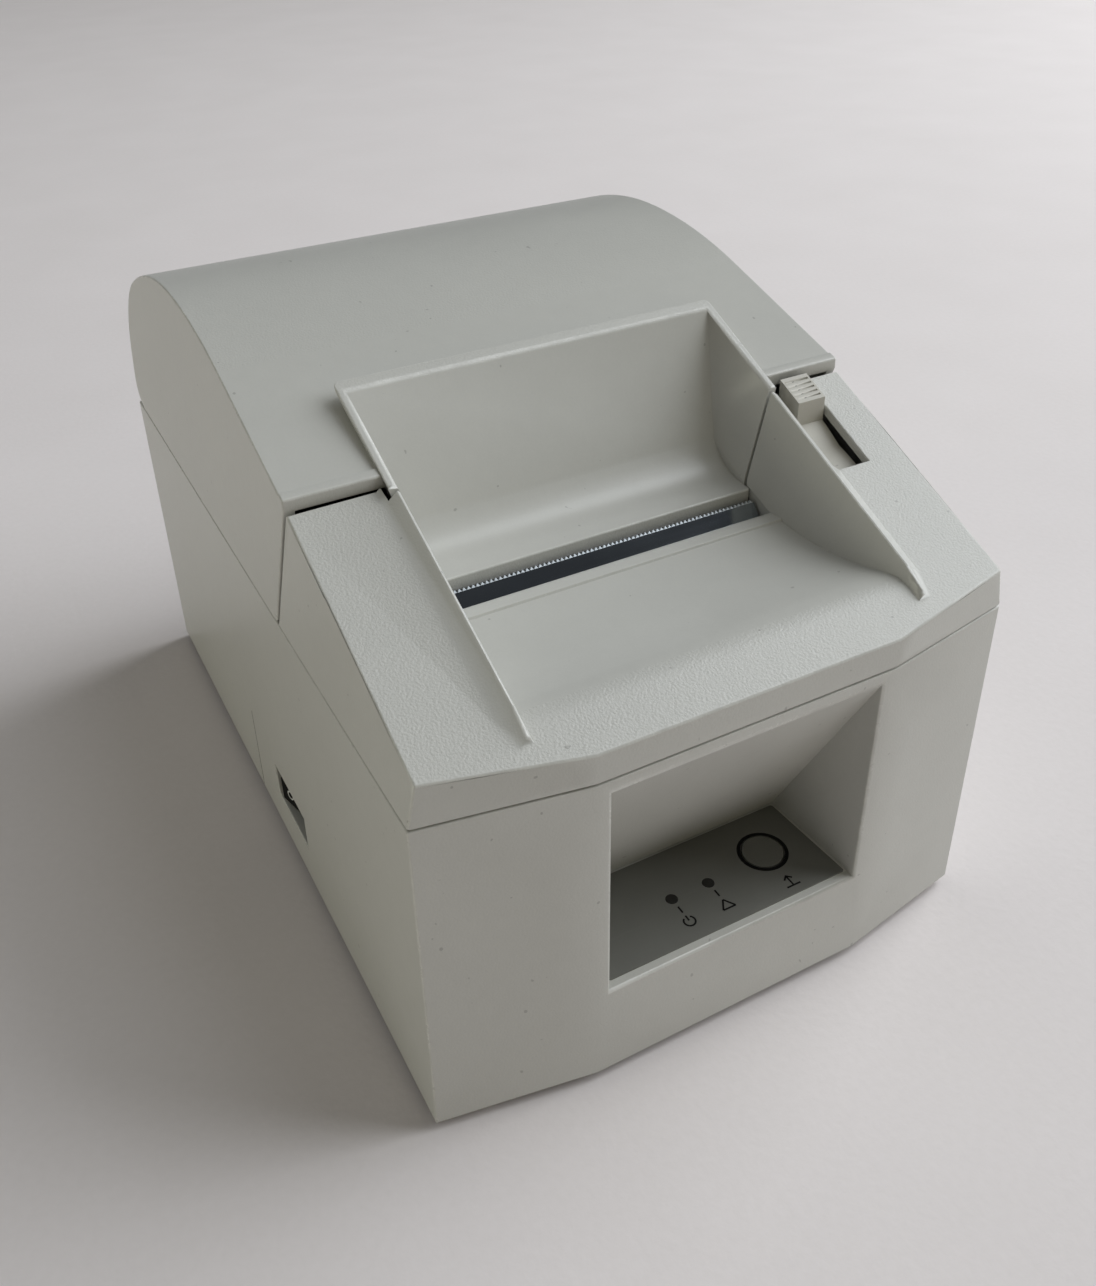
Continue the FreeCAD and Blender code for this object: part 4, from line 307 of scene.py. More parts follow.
outerPlastic = casePlastic("case plastic", (0.540, 0.535, 0.497),
                           {"grainScale": 1900, "grainDepth": 0.15 * mm, "rough": 0.27})
leverPlastic = casePlastic("lever plastic", (0.520, 0.500, 0.440),
                           {"grainScale": 1500, "grainDepth": 0.02 * mm, "rough": 0.40})
labelGrey = labelFilm("panel film", (0.165, 0.165, 0.148), 0.38)
blackInk = labelFilm("black panel ink", (0.010, 0.010, 0.010), 0.45, 1.15)
whiteInk = labelFilm("white switch ink", (0.70, 0.70, 0.68), 0.5)
finishBySlot = {
    "case_plastic": outerPlastic,
    "lever_plastic": leverPlastic,
    "label_film": labelGrey,
    "led_lens": darkPlastic("smoked lamp lens", (0.012, 0.012, 0.011), 0.14),
    "button_plastic": labelFilm("key cap grey", (0.165, 0.165, 0.148), 0.40),
    "switch_plastic": darkPlastic("black switch plastic", (0.014, 0.014, 0.014), 0.50, gloss=1.05),
    # blade steel shade set darker and bluer than bare steel, a painted tint for its reflection of the dim
    # room
    "polished_steel": metal("polished blade steel", (0.40, 0.44, 0.48),
                            {"lineScale": 900, "stretch": (0.04, 1, 1), "patchScale": 70, "rough": 0.06,
                             "spread": 0.05, "depth": 0.004 * mm}),
    "sheet_steel": platedSteel("zinc plated sheet", (0.62, 0.63, 0.64), 0.28),
    "shaft_steel": metal("turned steel", (0.58, 0.58, 0.57),
                         {"lineScale": 1400, "stretch": (1, 0.2, 0.2), "patchScale": 160, "rough": 0.20,
                          "spread": 0.10, "depth": 0.006 * mm}),
    "heatsink_alloy": metal("extruded alloy", (0.72, 0.72, 0.73),
                            {"lineScale": 1100, "stretch": (0.05, 1, 1), "patchScale": 120, "rough": 0.30,
                             "spread": 0.12, "depth": 0.015 * mm}),
    "head_glass": headGlass("glazed head"),
    "platen_rubber": rubber("platen rubber", (0.030, 0.030, 0.031), 0.62),
    "foot_rubber": rubber("foot rubber", (0.022, 0.022, 0.022), 0.74),
    "gear_plastic": casePlastic("natural gear plastic", (0.68, 0.66, 0.60),
                                {"grainScale": 2400, "grainDepth": 0.01 * mm, "rough": 0.34}),
    "motor_steel": metal("motor can steel", (0.48, 0.48, 0.47),
                         {"lineScale": 700, "stretch": (0.1, 1, 1), "patchScale": 90, "rough": 0.30,
                          "spread": 0.12, "depth": 0.01 * mm}),
    "board_laminate": boardLaminate("circuit board"),
    "component_plastic": darkPlastic("black component plastic", (0.022, 0.022, 0.023), 0.45),
    "inner_plastic": darkPlastic("dark inner plastic", (0.045, 0.045, 0.047), 0.48, 1100),
}
print("finishes made:", len(bpy.data.materials))

# Every node first gets the finish of its slot; the pieces below then stand for some of them
slotOf = {part["node"]: part["material_slot"] for part in frame["record"]["subparts"]}
for name, node in nodes.items():
    node.data.materials.clear()
    node.data.materials.append(finishBySlot[slotOf[name]])

# How near two places have to be to count as one
near = {"merge": 0.002 * mm, "cut": 0.001 * mm, "end": 0.01 * mm, "line": 0.06 * mm, "surface": 0.08 * mm}

# Slope of the raised edges beside the paper pocket, shared by the cover, the lid and the lever
ridge = {"frontY": -107.6 * mm, "frontZ": 99.3 * mm, "slope": 0.408}

# The smooth inside of the paper pocket, below those edges
pocket = {"half": 47.5 * mm, "below": 0.4 * mm}


def addPiece(name, bm, finish, body, smoothAngle=32):
    bmesh.ops.remove_doubles(bm, verts=bm.verts, dist=near["merge"])
    mesh = bpy.data.meshes.new(name)
    bm.to_mesh(mesh)
    bm.free()
    mesh.materials.append(finish)
    mesh.shade_smooth()
    mesh.set_sharp_from_angle(angle=math.radians(smoothAngle))
    piece = bpy.data.objects.new(name, mesh)
    bpy.context.scene.collection.objects.link(piece)
    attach(piece, body)
    return piece


def evenShading(piece):
    even = piece.modifiers.new("even shading", "WEIGHTED_NORMAL")
    even.keep_sharp = True


def mergedCopy(node, flat=0.05):
    # a CAD node with its triangles joined to whole faces, and empty marks for the finishes
    bm = bmesh.new()
    bm.from_mesh(nodes[node].data)
    bmesh.ops.remove_doubles(bm, verts=bm.verts, dist=near["merge"])
    bmesh.ops.dissolve_limit(bm, angle_limit=math.radians(flat), verts=bm.verts[:], edges=bm.edges[:])
    for mark in ("wornEdgeAndHighlight", "polished", "seamShadowAndDirt"):
        bm.faces.layers.float.new(mark)
    return bm


def outsideEdges(bm, angle, room):
    # sharp outside edges that have room for a round at both ends
    chosen = []
    for edge in bm.edges:
        if len(edge.link_faces) != 2 or edge.calc_face_angle_signed(0) < math.radians(angle):
            continue
        shortest = min(link.calc_length() for vert in edge.verts for link in vert.link_edges)
        if shortest > room:
            chosen.append(edge)
    return chosen


def shellEdges(bm, shell):
    return outsideEdges(bm, shell["angle"], shell["room"])


def roundEdges(bm, edges, width, segments=2):
    # rounds the edges and marks the new faces for the worn look
    wearAndHighlight = bm.faces.layers.float["wornEdgeAndHighlight"]
    made = bmesh.ops.bevel(bm, geom=edges, offset=width, offset_type="OFFSET", affect="EDGES",
                           segments=segments, profile=0.5, material=-1, clamp_overlap=False)
    for face in made["faces"]:
        face[wearAndHighlight] = 1.0


def cutFaces(bm, faces, place, normal):
    edges = {edge for face in faces for edge in face.edges}
    verts = {vert for face in faces for vert in face.verts}
    bmesh.ops.bisect_plane(bm, geom=[*faces, *edges, *verts], dist=near["cut"], plane_co=place,
                           plane_no=normal)


def markFaces(bm, layer, value, inside):
    mark = bm.faces.layers.float[layer]
    for face in bm.faces:
        if inside(face.calc_center_median(), face.normal):
            face[mark] = value


def ridgePlane(y):
    return ridge["frontZ"] + ridge["slope"] * (y - ridge["frontY"])


def insidePocket(at, shell):
    # true on the smooth faces between and below the raised edges
    return (abs(at.x) < pocket["half"] and shell["pocketFront"] < at.y < shell["pocketBack"]
            and at.z < ridgePlane(at.y) - pocket["below"])


# Lower case
lowerShell = {"node": "lower_case", "body": "base", "edge": 0.45 * mm, "angle": 22, "room": 1.0 * mm,
              "opening": 0.8 * mm, "openingFront": -107 * mm, "openingHalf": 34.5 * mm,
              "openingLow": 20 * mm, "openingHigh": 87 * mm, "satin": 0.7, "seamSide": -71 * mm,
              "seamTop": 30.4 * mm, "seamY": 20.05 * mm, "seamHalf": 0.32 * mm}
bm = mergedCopy(lowerShell["node"])
opening = [edge for edge in shellEdges(bm, lowerShell)
           if all(vert.co.y < lowerShell["openingFront"] and abs(vert.co.x) < lowerShell["openingHalf"]
                  and lowerShell["openingLow"] < vert.co.z < lowerShell["openingHigh"]
                  for vert in edge.verts)]
roundEdges(bm, opening, lowerShell["opening"], segments=3)
roundEdges(bm, shellEdges(bm, lowerShell), lowerShell["edge"])
markFaces(bm, "polished", lowerShell["satin"], lambda at, normal: True)
# the vertical side seam groove gets painted shadow with some dirt
markFaces(bm, "seamShadowAndDirt", 1.0, lambda at, normal: at.x < lowerShell["seamSide"]
          and at.z < lowerShell["seamTop"] and abs(at.y - lowerShell["seamY"]) < lowerShell["seamHalf"])
piece = addPiece("lower_case_shell", bm, outerPlastic, lowerShell["body"])
evenShading(piece)
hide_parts(lowerShell["node"])

# Front cover: the top turns down into the scoop over a soft round, and a low bar runs along the slot
frontShell = {
    "node": "front_cover", "body": "base", "edge": 0.45 * mm, "angle": 28, "room": 0.85 * mm,
    "foot": 89.5 * mm, "seamShadowAndDirtTop": 89.05 * mm, "finX": 47.4 * mm, "finEdge": 0.8 * mm, "finDrop": 2.0 * mm,
    "satin": 0.65, "satinSlope": 0.8, "pocketFront": -94 * mm, "pocketBack": -44 * mm,
    "scoop": {"half": 46.41 * mm, "reach": 80 * mm, "lowest": 97.5 * mm, "level": 0.8, "topDrop": 3.1 * mm,
              "startY": -99.4 * mm, "crestY": -94.4 * mm, "beadY": -60.2 * mm, "endY": -55.5 * mm,
              "beadZ": 99.2 * mm, "endZ": 98.5 * mm, "radius": 75 * mm, "lowY": -72.2 * mm,
              "lowZ": 98.23 * mm, "softStart": 3.2 * mm, "softBead": 0.5 * mm, "fineRows": 11,
              "fineStep": 1 * mm, "wideStep": 2 * mm, "wideEnd": -62.5 * mm},
    "slotBar": {"frontY": -60.85 * mm, "rise": 0.4 * mm, "riseRows": 5, "topRows": (-59.6 * mm, -58.4 * mm),
                "backY": -57.1 * mm, "lastRow": -56.3 * mm, "top": 99.68 * mm, "wearAndHighlightHalf": 42 * mm,
                "wearAndHighlightLow": 99 * mm, "wearAndHighlightWidth": 0.25 * mm},
}
scoop = frontShell["scoop"]
slotBar = frontShell["slotBar"]


def softMin(first, second, width):
    # the lower of two heights, rounded where they cross
    share = max(width - abs(first - second), 0) / width
    return min(first, second) - share * share * width / 4


def scoopHeight(y, soft):
    # the sloping top, then the hollow arc, then the fall towards the slot; the soft one has the bar on it
    top = ridgePlane(y) - scoop["topDrop"]
    hollow = scoop["lowZ"] + scoop["radius"] - math.sqrt(scoop["radius"] ** 2 - (y - scoop["lowY"]) ** 2)
    drop = scoop["endZ"] - scoop["beadZ"]
    fall = scoop["beadZ"] + (y - scoop["beadY"]) * drop / (scoop["endY"] - scoop["beadY"])
    if soft:
        rise = min(max((y - slotBar["frontY"]) / slotBar["rise"], 0), 1)
        back = min(max((scoop["endY"] - y) / (scoop["endY"] - slotBar["backY"]), 0), 1)
        base = softMin(softMin(top, hollow, scoop["softStart"]), max(fall, scoop["endZ"]), scoop["softBead"])
        return base + max(slotBar["top"] - base, 0) * rise * rise * (3 - 2 * rise) * back
    return min(top, hollow, fall) if y > scoop["crestY"] else top


def scoopFaces(bm, half):
    chosen = []
    for face in bm.faces:
        middle = face.calc_center_median()
        if face.normal.z > scoop["level"] and middle.z > scoop["lowest"]:
            if abs(middle.x) < half and middle.y < scoop["endY"]:
                chosen.append(face)
    return chosen


def scoopRows():
    # close rows over the soft round and up the bar, wider ones along the hollow
    rows = [scoop["startY"] + step * scoop["fineStep"] for step in range(scoop["fineRows"])]
    while rows[-1] < scoop["wideEnd"]:
        rows.append(rows[-1] + scoop["wideStep"])
    riseRows = slotBar["riseRows"]
    rows += [slotBar["frontY"] + step * slotBar["rise"] / riseRows for step in range(riseRows + 2)]
    return [*rows, *slotBar["topRows"], slotBar["backY"], slotBar["lastRow"]]


def shapeScoop(bm):
    for side in (-1, 1):
        cutFaces(bm, scoopFaces(bm, scoop["reach"]), (side * scoop["half"], 0, 0), (1, 0, 0))
    rows = scoopRows()
    for y in rows:
        cutFaces(bm, scoopFaces(bm, scoop["half"]), (0, y, 0), (0, 1, 0))
    for front, back in zip(rows, rows[1:]):
        strip = [face for face in scoopFaces(bm, scoop["half"])
                 if front < face.calc_center_median().y < back]
        if len(strip) > 1:
            bmesh.ops.dissolve_faces(bm, faces=strip)
    for vert in bm.verts:
        x, y, z = vert.co
        lengthwise = scoop["startY"] - near["end"] < y < scoop["endY"] - near["end"]
        if lengthwise and abs(x) < scoop["half"] + near["end"]:
            if abs(z - scoopHeight(y, False)) < near["surface"]:
                vert.co.z = scoopHeight(y, True)


bm = mergedCopy(frontShell["node"])
shapeScoop(bm)
fins = [edge for edge in shellEdges(bm, frontShell)
        if all(abs(abs(vert.co.x) - frontShell["finX"]) < near["line"]
               and vert.co.z > ridgePlane(vert.co.y) - frontShell["finDrop"] for vert in edge.verts)]
roundEdges(bm, fins, frontShell["finEdge"], segments=3)
edges = [edge for edge in shellEdges(bm, frontShell)
         if max(vert.co.z for vert in edge.verts) > frontShell["foot"]]
roundEdges(bm, edges, frontShell["edge"])
# the parting groove along the cover's foot gets painted shadow with some dirt
markFaces(bm, "seamShadowAndDirt", 1.0, lambda at, normal: at.z < frontShell["seamShadowAndDirtTop"])
# a pale line along the slot bar's front edge: paper wear and a painted highlight
markFaces(bm, "wornEdgeAndHighlight", 1.0, lambda at, normal: abs(at.x) < slotBar["wearAndHighlightHalf"]
          and at.z > slotBar["wearAndHighlightLow"]
          and abs(at.y - slotBar["frontY"] - slotBar["rise"]) < slotBar["wearAndHighlightWidth"])
markFaces(bm, "polished", frontShell["satin"], lambda at, normal: normal.z < frontShell["satinSlope"])
markFaces(bm, "polished", 1.0, lambda at, normal: insidePocket(at, frontShell))
piece = addPiece("front_cover_shell", bm, outerPlastic, frontShell["body"])
evenShading(piece)
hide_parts(frontShell["node"])

# Lid: a raised rim round the paper pocket, and a low lip along the front edge
lidShell = {
    "node": "rear_cover", "body": "lid", "edge": 0.45 * mm, "angle": 28, "room": 1.2 * mm, "flat": 0.4,
    "topY": -40.2 * mm, "topZ": 125.8 * mm, "topSlope": 0.283, "satin": 0.5, "pocketFront": -48 * mm,
    "pocketBack": -17 * mm,
    "lip": {"inner": 48.9 * mm, "backY": -37.9 * mm, "step": 0.30 * mm, "rise": 0.50 * mm, "level": 0.05,
            "behindPocket": -30 * mm, "nearTop": 0.7 * mm, "below": 0.5 * mm, "above": 0.05 * mm},
    "rim": {"edge": 0.75 * mm, "room": 0.2 * mm, "half": 50 * mm, "corner": 1.5 * mm, "cornerX": 48 * mm,
            "cornerFront": -18 * mm, "cornerBack": -13 * mm, "cornerTall": 2 * mm, "cornerAngle": 1.0},
}
lidLip = lidShell["lip"]
lidRim = lidShell["rim"]


def lidTop(y):
    return lidShell["topZ"] + lidShell["topSlope"] * (y - lidShell["topY"])


def raiseLip(bm):
    # low bar along the front edge on both sides of the pocket
    for y in (lidLip["backY"], lidLip["backY"] + lidLip["step"]):
        faces = [face for face in bm.faces if face.normal.z > lidLip["level"]
                 and all(abs(vert.co.x) > lidLip["inner"] or vert.co.y > lidLip["behindPocket"]
                         for vert in face.verts)
                 and max(abs(vert.co.z - lidTop(vert.co.y)) for vert in face.verts) < lidLip["nearTop"]]
        cutFaces(bm, faces, (0, y, 0), (0, 1, 0))
    for vert in bm.verts:
        x, y, z = vert.co
        if abs(x) > lidLip["inner"] and y < lidLip["backY"] + near["end"]:
            if -lidLip["below"] < z - lidTop(y) < lidLip["above"]:
                vert.co.z += lidLip["rise"]


def rimCorners(bm):
    # the two upright edges at the back corners of the rim
    return [edge for edge in bm.edges
            if all(abs(vert.co.x) > lidRim["cornerX"]
                   and lidRim["cornerFront"] < vert.co.y < lidRim["cornerBack"] for vert in edge.verts)
            and abs(edge.verts[0].co.z - edge.verts[1].co.z) > lidRim["cornerTall"]
            and edge.calc_face_angle_signed(0) > lidRim["cornerAngle"]]


def rimEdges(bm):
    # edges of the raised rim round the paper pocket
    return [edge for edge in outsideEdges(bm, lidShell["angle"], lidRim["room"])
            if all(abs(vert.co.z - ridgePlane(vert.co.y)) < near["line"] and abs(vert.co.x) < lidRim["half"]
                   for vert in edge.verts)]


bm = mergedCopy(lidShell["node"], lidShell["flat"])
roundEdges(bm, rimCorners(bm), lidRim["corner"], segments=4)
roundEdges(bm, rimEdges(bm), lidRim["edge"], segments=3)
roundEdges(bm, shellEdges(bm, lidShell), lidShell["edge"], segments=3)
raiseLip(bm)
markFaces(bm, "polished", lidShell["satin"], lambda at, normal: True)
markFaces(bm, "polished", 1.0, lambda at, normal: insidePocket(at, lidShell))
piece = addPiece("lid_shell", bm, outerPlastic, lidShell["body"])
evenShading(piece)
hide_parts(lidShell["node"])
print("shells rounded")

# Tear bar: the ground tooth tips are paler than the polished face
tearBlade = {"node": "tear_bar", "body": "base", "tilt": 50.0, "tip": 0.70 * mm}
bm = mergedCopy(tearBlade["node"])
lean = math.radians(tearBlade["tilt"])
down = Vector((0, -math.cos(lean), -math.sin(lean)))
highest = max((vert.co for vert in bm.verts), key=lambda at: -at.dot(down))
cutFaces(bm, bm.faces[:], highest + down * tearBlade["tip"], down)
markFaces(bm, "wornEdgeAndHighlight", 1.0, lambda at, normal: (at - highest).dot(down) < tearBlade["tip"])
piece = addPiece("tear_blade", bm, finishBySlot["polished_steel"], tearBlade["body"])
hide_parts(tearBlade["node"])
print("tear bar made")

# Open lever: grooves across the finger pad, a dark disc in each as the painted shade of a small pit, and a
# skirt that closes the slot below it
leverPad = {
    "node": "open_lever", "ribs": 6, "depth": 0.40 * mm, "groove": 0.46, "taper": 0.75,
    "border": 0.55 * mm, "level": 0.995, "lowest": 120 * mm, "middleShare": 0.1,
    "skirt": {"axisY": -47.0 * mm, "axisZ": 71.0 * mm, "thick": 1.6 * mm, "right": 58.6 * mm,
              "wider": 1.1 * mm, "rampStart": 13.0, "rampRise": 4.0 * mm, "leastRadius": 40 * mm,
              "frontSpan": 0.5, "inwards": 0.1 * mm, "besideRight": 0.02 * mm, "besideTop": 0.15 * mm},
}
pitShadeDiscs = {"x": 55.0 * mm, "radius": 0.36 * mm, "sides": 14, "deep": 0.10 * mm, "drop": 0.51 * mm}


def shapeSkirt(bm, settings):
    # widens the skirt to the right and ramps it up to the knob
    reach = []
    for vert in bm.verts:
        radius = math.hypot(vert.co.y - settings["axisY"], vert.co.z - settings["axisZ"])
        lead = math.degrees(math.atan2(settings["axisY"] - vert.co.y, vert.co.z - settings["axisZ"]))
        reach.append((vert, radius, lead))
    front = max(lead for vert, radius, lead in reach if radius > settings["leastRadius"])
    outer = max(radius for vert, radius, lead in reach if lead > front - settings["frontSpan"])
    inner = outer - settings["thick"] - settings["inwards"]
    for vert, radius, lead in reach:
        if radius > inner and abs(vert.co.x - settings["right"]) < settings["besideRight"]:
            vert.co.x += settings["wider"]
        if abs(radius - outer) < settings["besideTop"] and lead < settings["rampStart"]:
            vert.co.z += settings["rampRise"] * (settings["rampStart"] - lead) / settings["rampStart"]


def padFaces(bm):
    up = Vector((0, -ridge["slope"], 1)).normalized()
    return [face for face in bm.faces
            if face.normal.dot(up) > leverPad["level"] and face.calc_center_median().z > leverPad["lowest"]]


bm = mergedCopy(leverPad["node"])
shapeSkirt(bm, leverPad["skirt"])
padVerts = {vert for face in padFaces(bm) for vert in face.verts}
padLow = min(vert.co.y for vert in padVerts)
padHigh = max(vert.co.y for vert in padVerts)
padLeft = min(vert.co.x for vert in padVerts) + leverPad["border"]
padRight = max(vert.co.x for vert in padVerts) - leverPad["border"]
pitch = (padHigh - padLow) / leverPad["ribs"]
grooves = [padLow + (rib + 1) * pitch for rib in range(leverPad["ribs"] - 1)]
for x in (padLeft, padRight):
    cutFaces(bm, padFaces(bm), (x, 0, 0), (1, 0, 0))
for middle in grooves:
    for side in (-0.5, 0.5):
        cutFaces(bm, padFaces(bm), (0, middle + side * leverPad["groove"] * pitch, 0), (0, 1, 0))
for middle in grooves:
    cell = [face for face in padFaces(bm)
            if abs(face.calc_center_median().y - middle) < leverPad["middleShare"] * pitch
            and padLeft < face.calc_center_median().x < padRight]
    sunk = bmesh.ops.extrude_face_region(bm, geom=cell)["geom"]
    bottom = [vert for vert in sunk if isinstance(vert, bmesh.types.BMVert)]
    bmesh.ops.translate(bm, vec=(0, 0, -leverPad["depth"]), verts=bottom)
    bmesh.ops.scale(bm, vec=(1, leverPad["taper"], 1), space=Matrix.Translation((0, -middle, 0)),
                    verts=bottom)
    bmesh.ops.delete(bm, geom=cell, context="FACES")
piece = addPiece("open_lever_grip", bm, leverPlastic, "latch")
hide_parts(leverPad["node"])

# dark discs on the groove floors: painted shade standing for the small pits
bm = bmesh.new()
padTurn = Matrix.Rotation(math.atan(ridge["slope"]), 3, "X")
for middle in grooves:
    disc = bmesh.ops.create_cone(bm, cap_ends=True, cap_tris=False, segments=pitShadeDiscs["sides"],
                                 radius1=pitShadeDiscs["radius"], radius2=pitShadeDiscs["radius"],
                                 depth=pitShadeDiscs["deep"])
    floorZ = ridgePlane(middle) - pitShadeDiscs["drop"] - leverPad["depth"]
    bmesh.ops.rotate(bm, matrix=padTurn, verts=disc["verts"])
    bmesh.ops.translate(bm, vec=(pitShadeDiscs["x"], middle, floorZ), verts=disc["verts"])
addPiece("open_lever_pit_shade", bm, finishBySlot["inner_plastic"], "latch")
print("lever made")

# Control panel: film with rounded corners, black key ring and small printed signs
panelFilm = {"node": "panel_label", "corner": 0.7 * mm, "cornerX": 30 * mm, "cornerTall": 0.2 * mm}
panelPrint = {
    "top": 29.0 * mm, "ink": 0.03 * mm, "stroke": 0.44 * mm, "key": (19.2 * mm, -92.0 * mm),
    "keyInner": 5.35 * mm, "keyOuter": 6.25 * mm, "lamps": (-8.1 * mm, 2.1 * mm),
    "tickStart": -96.4 * mm, "tickEnd": -98.4 * mm, "signY": -101.2 * mm, "feedY": -102.4 * mm,
    "power": {"radius": 1.15 * mm, "start": 125, "sweep": 290, "stemLow": 0.2 * mm, "stemHigh": 1.75 * mm},
    "warning": {"half": 1.7 * mm, "low": 1.2 * mm, "high": 1.5 * mm},
    "feed": {"stem": 1.5 * mm, "overlap": 0.1 * mm, "barbWide": 1.1 * mm, "barbHigh": 0.4 * mm,
             "lineHalf": 1.9 * mm, "lineDrop": 1.7 * mm},
}

bm = mergedCopy(panelFilm["node"])
corners = [edge for edge in bm.edges
           if abs(edge.verts[0].co.z - edge.verts[1].co.z) > panelFilm["cornerTall"]
           and min(abs(vert.co.x) for vert in edge.verts) > panelFilm["cornerX"]]
roundEdges(bm, corners, panelFilm["corner"], segments=5)
piece = addPiece("panel_film", bm, labelGrey, "base")
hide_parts(panelFilm["node"])


def inkArc(bm, centre, inner, outer, start=0.0, sweep=360.0, stepAngle=7, leastSteps=8):
    # flat ring or part of one, drawn from an edge that is spun round the centre
    turn = Matrix.Rotation(math.radians(start), 3, "Z")
    ends = [bm.verts.new(turn @ Vector((radius, 0, 0)) + Vector((*centre, 0))) for radius in (inner, outer)]
    line = bm.edges.new(ends)
    bmesh.ops.spin(bm, geom=[*ends, line], cent=(*centre, 0), axis=(0, 0, 1), angle=math.radians(sweep),
                   steps=max(leastSteps, round(sweep / stepAngle)), use_merge=sweep >= 360)


def inkBar(bm, start, end, width):
    run = Vector(end) - Vector(start)
    made = bmesh.ops.create_grid(bm, x_segments=1, y_segments=1, size=0.5)["verts"]
    bmesh.ops.scale(bm, vec=(run.length, width, 1), verts=made)
    bmesh.ops.rotate(bm, matrix=Matrix.Rotation(math.atan2(run.y, run.x), 3, "Z"), verts=made)
    bmesh.ops.translate(bm, vec=((start[0] + end[0]) / 2, (start[1] + end[1]) / 2, 0), verts=made)


def thickenInk(bm, thickness):
    # turns flat print face up and gives it its thickness
    bmesh.ops.recalc_face_normals(bm, faces=bm.faces)
    for face in bm.faces:
        if face.normal.z < 0:
            face.normal_flip()
    raised = bmesh.ops.extrude_face_region(bm, geom=bm.faces[:])["geom"]
    upper = [vert for vert in raised if isinstance(vert, bmesh.types.BMVert)]
    bmesh.ops.translate(bm, vec=(0, 0, thickness), verts=upper)


bm = bmesh.new()
stroke = panelPrint["stroke"]
inkArc(bm, panelPrint["key"], panelPrint["keyInner"], panelPrint["keyOuter"])
for lampX in panelPrint["lamps"]:
    inkBar(bm, (lampX, panelPrint["tickStart"]), (lampX, panelPrint["tickEnd"]), stroke)
powerX, errorX = panelPrint["lamps"]
signY = panelPrint["signY"]
powerSign = panelPrint["power"]
inkArc(bm, (powerX, signY), powerSign["radius"], powerSign["radius"] + stroke, powerSign["start"],
       powerSign["sweep"])
inkBar(bm, (powerX, signY + powerSign["stemLow"]), (powerX, signY + powerSign["stemHigh"]), stroke)
warningSign = panelPrint["warning"]
left = (errorX - warningSign["half"], signY - warningSign["low"])
right = (errorX + warningSign["half"], signY - warningSign["low"])
peak = (errorX, signY + warningSign["high"])
for start, end in ((left, right), (left, peak), (right, peak)):
    inkBar(bm, start, end, stroke)
feedSign = panelPrint["feed"]
feedX = panelPrint["key"][0]
feedY = panelPrint["feedY"]
tipY = feedY + feedSign["stem"]
lineY = feedY - feedSign["lineDrop"]
inkBar(bm, (feedX, feedY - feedSign["stem"]), (feedX, tipY), stroke)
for side in (1, -1):
    inkBar(bm, (feedX - side * feedSign["overlap"], tipY),
           (feedX + side * feedSign["barbWide"], feedY + feedSign["barbHigh"]), stroke)
inkBar(bm, (feedX - feedSign["lineHalf"], lineY), (feedX + feedSign["lineHalf"], lineY), stroke)
thickenInk(bm, panelPrint["ink"])
bmesh.ops.translate(bm, vec=(0, 0, panelPrint["top"]), verts=bm.verts)
addPiece("panel_print", bm, blackInk, "base")
print("control panel printed")

# Power rocker with its two signs
rockerShell = {"node": "power_rocker", "edge": 0.30 * mm, "angle": 30, "room": 0.7 * mm, "outwards": -0.9}
rockerSigns = {"barHalf": 1.5 * mm, "barWide": 0.5 * mm, "ringInner": 1.0 * mm, "ringOuter": 1.45 * mm,
               "ink": 0.03 * mm}
bm = mergedCopy(rockerShell["node"])
outer = [face for face in bm.faces if face.normal.x < rockerShell["outwards"]]
outer = sorted(outer, key=lambda face: -face.calc_area())[:2]
outer.sort(key=lambda face: face.calc_center_median().y)
paddles = [(face.calc_center_median(), face.normal.copy()) for face in outer]
roundEdges(bm, shellEdges(bm, rockerShell), rockerShell["edge"])
piece = addPiece("power_rocker_cap", bm, finishBySlot["switch_plastic"], "rocker")
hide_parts(rockerShell["node"])

signs = bmesh.new()
up = Vector((0, 0, 1))
for end, (centre, normal) in enumerate(paddles):
    bm = bmesh.new()
    if end == 0:
        inkBar(bm, (0, -rockerSigns["barHalf"]), (0, rockerSigns["barHalf"]), rockerSigns["barWide"])
    else:
        inkArc(bm, (0, 0), rockerSigns["ringInner"], rockerSigns["ringOuter"])
    thickenInk(bm, rockerSigns["ink"])
    across = up.cross(normal).normalized()
    place = Matrix((across, normal.cross(across), normal)).transposed().to_4x4()
    place.translation = centre
    bmesh.ops.transform(bm, matrix=place, verts=bm.verts)
    signMesh = bpy.data.meshes.new("rocker sign")
    bm.to_mesh(signMesh)
    bm.free()
    signs.from_mesh(signMesh)
    bpy.data.meshes.remove(signMesh)
addPiece("power_rocker_signs", signs, whiteInk, "rocker")
print("rocker made")

# Table top, light and camera
tableTop = {"size": 12.0}
bm = bmesh.new()
bmesh.ops.create_grid(bm, x_segments=2, y_segments=2, size=tableTop["size"] / 2)
floorMesh = bpy.data.meshes.new("table_top")
bm.to_mesh(floorMesh)
bm.free()
floorMesh.materials.append(tablePaper("pale table top"))
floor = bpy.data.objects.new("table_top", floorMesh)
bpy.context.scene.collection.objects.link(floor)

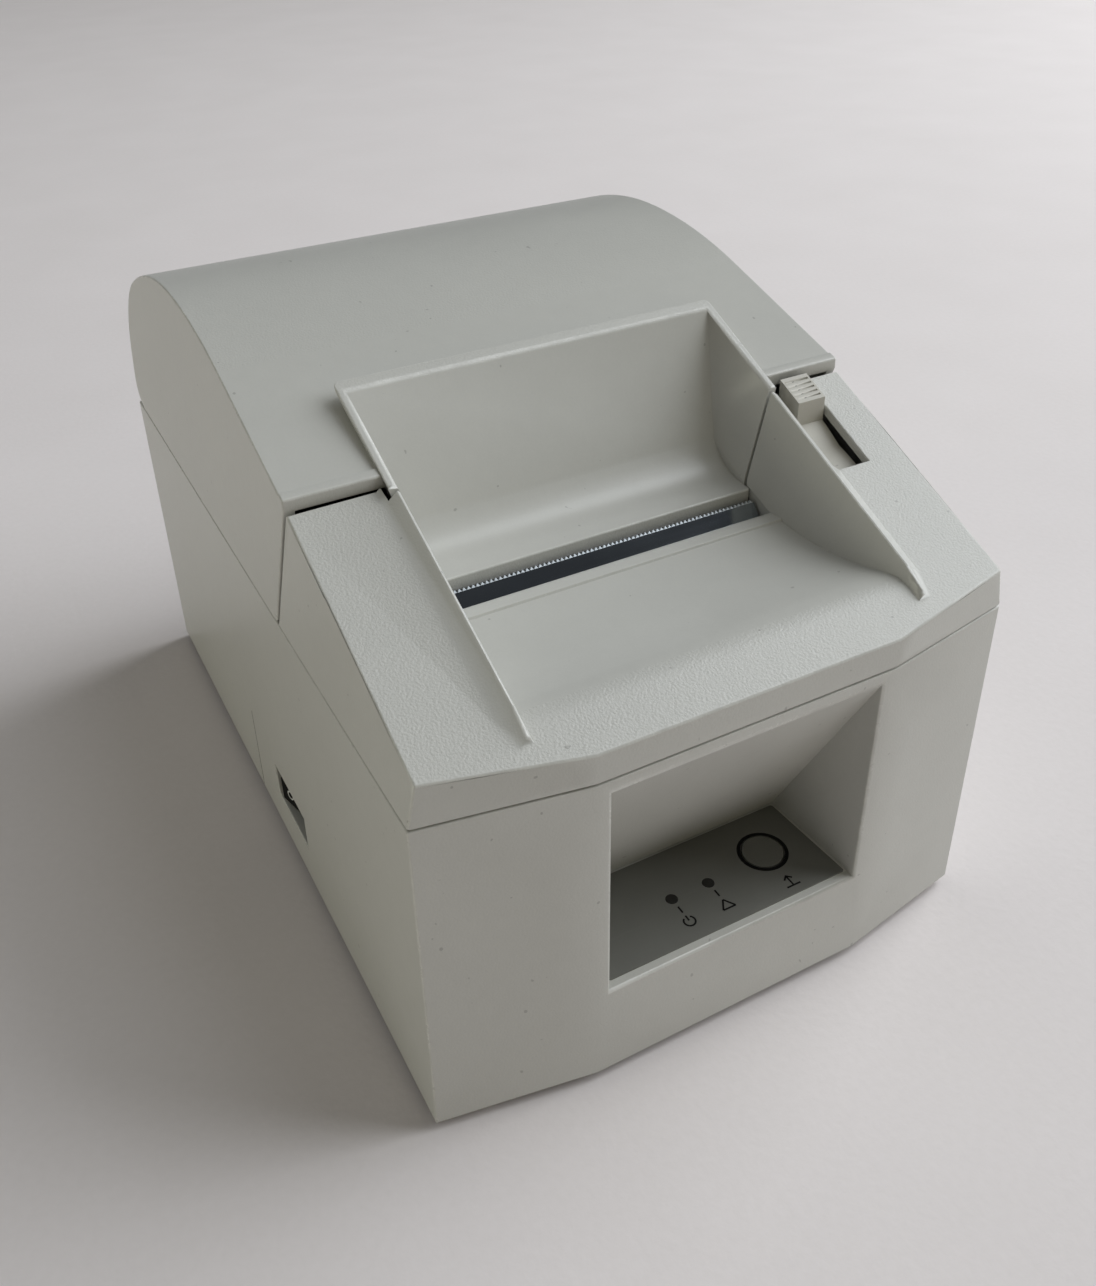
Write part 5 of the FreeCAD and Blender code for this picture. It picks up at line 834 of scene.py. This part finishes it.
windowLamp = {"from": (2.13, -0.31, 1.52), "aim": (0, 0, 0.06), "size": 2.76, "power": 71.0,
              "shade": (0.96, 1.0, 1.04)}
fillLamps = {
    "ceiling": {"from": (0.38, -0.03, 0.92), "angle": 22, "level": 0.11, "shade": (0.95, 1.0, 1.04)},
    "sky": {"from": (-0.35, 0.30, 0.89), "angle": 100, "level": 0.09, "shade": (0.99, 1.0, 0.97)},
    "leftFill": {"from": (-0.98, 0.20, 0.02), "angle": 22, "level": 0.31, "shade": (1.0, 1.0, 0.82)},
    "frontFill": {"from": (-0.10, -0.97, 0.20), "angle": 60, "level": 0.10, "shade": (1.0, 0.92, 0.66)},
}
dimRoom = {"shade": (0.055, 0.057, 0.060)}


def hangLamp(light, lamp, away):
    # lamps shine along their own -Z, so +Z is turned away from the printer
    light.color = lamp["shade"]
    shine = bpy.data.objects.new(light.name, light)
    shine.rotation_euler = away.to_track_quat("Z", "Y").to_euler()
    bpy.context.scene.collection.objects.link(shine)
    return shine


light = bpy.data.lights.new("window", "AREA")
light.shape = "DISK"
light.size = windowLamp["size"]
light.energy = windowLamp["power"]
shine = hangLamp(light, windowLamp, Vector(windowLamp["from"]) - Vector(windowLamp["aim"]))
shine.location = windowLamp["from"]
for name, lamp in fillLamps.items():
    light = bpy.data.lights.new(name, "SUN")
    light.energy = lamp["level"] * math.pi
    light.angle = math.radians(lamp["angle"])
    hangLamp(light, lamp, Vector(lamp["from"]))
world = bpy.data.worlds.new("dim room")
world.use_nodes = True
world.node_tree.nodes["Background"].inputs["Color"].default_value = (*dimRoom["shade"], 1)
bpy.context.scene.world = world

view = {"place": (-0.1231, -0.2533, 0.2469), "spin": 0.4857, "tilt": 2.1550, "roll": -0.0192, "lens": 34.15,
        "shift": -0.0486, "nearest": 0.01}
aim = Matrix.Rotation(view["roll"], 3, "Z") @ Matrix.Rotation(view["tilt"], 3, "X")
aim = aim @ Matrix.Rotation(view["spin"], 3, "Z")
lensData = bpy.data.cameras.new("photo view")
lensData.lens = view["lens"]
lensData.shift_y = view["shift"]
lensData.clip_start = view["nearest"]
camera = bpy.data.objects.new("photo view", lensData)
turn = Matrix((aim[0], -aim[1], -aim[2])).transposed()
camera.matrix_world = Matrix.Translation(view["place"]) @ turn.to_4x4()
bpy.context.scene.collection.objects.link(camera)
bpy.context.scene.camera = camera
bpy.context.scene.view_settings.view_transform = "Standard"
print("table, light and camera set")
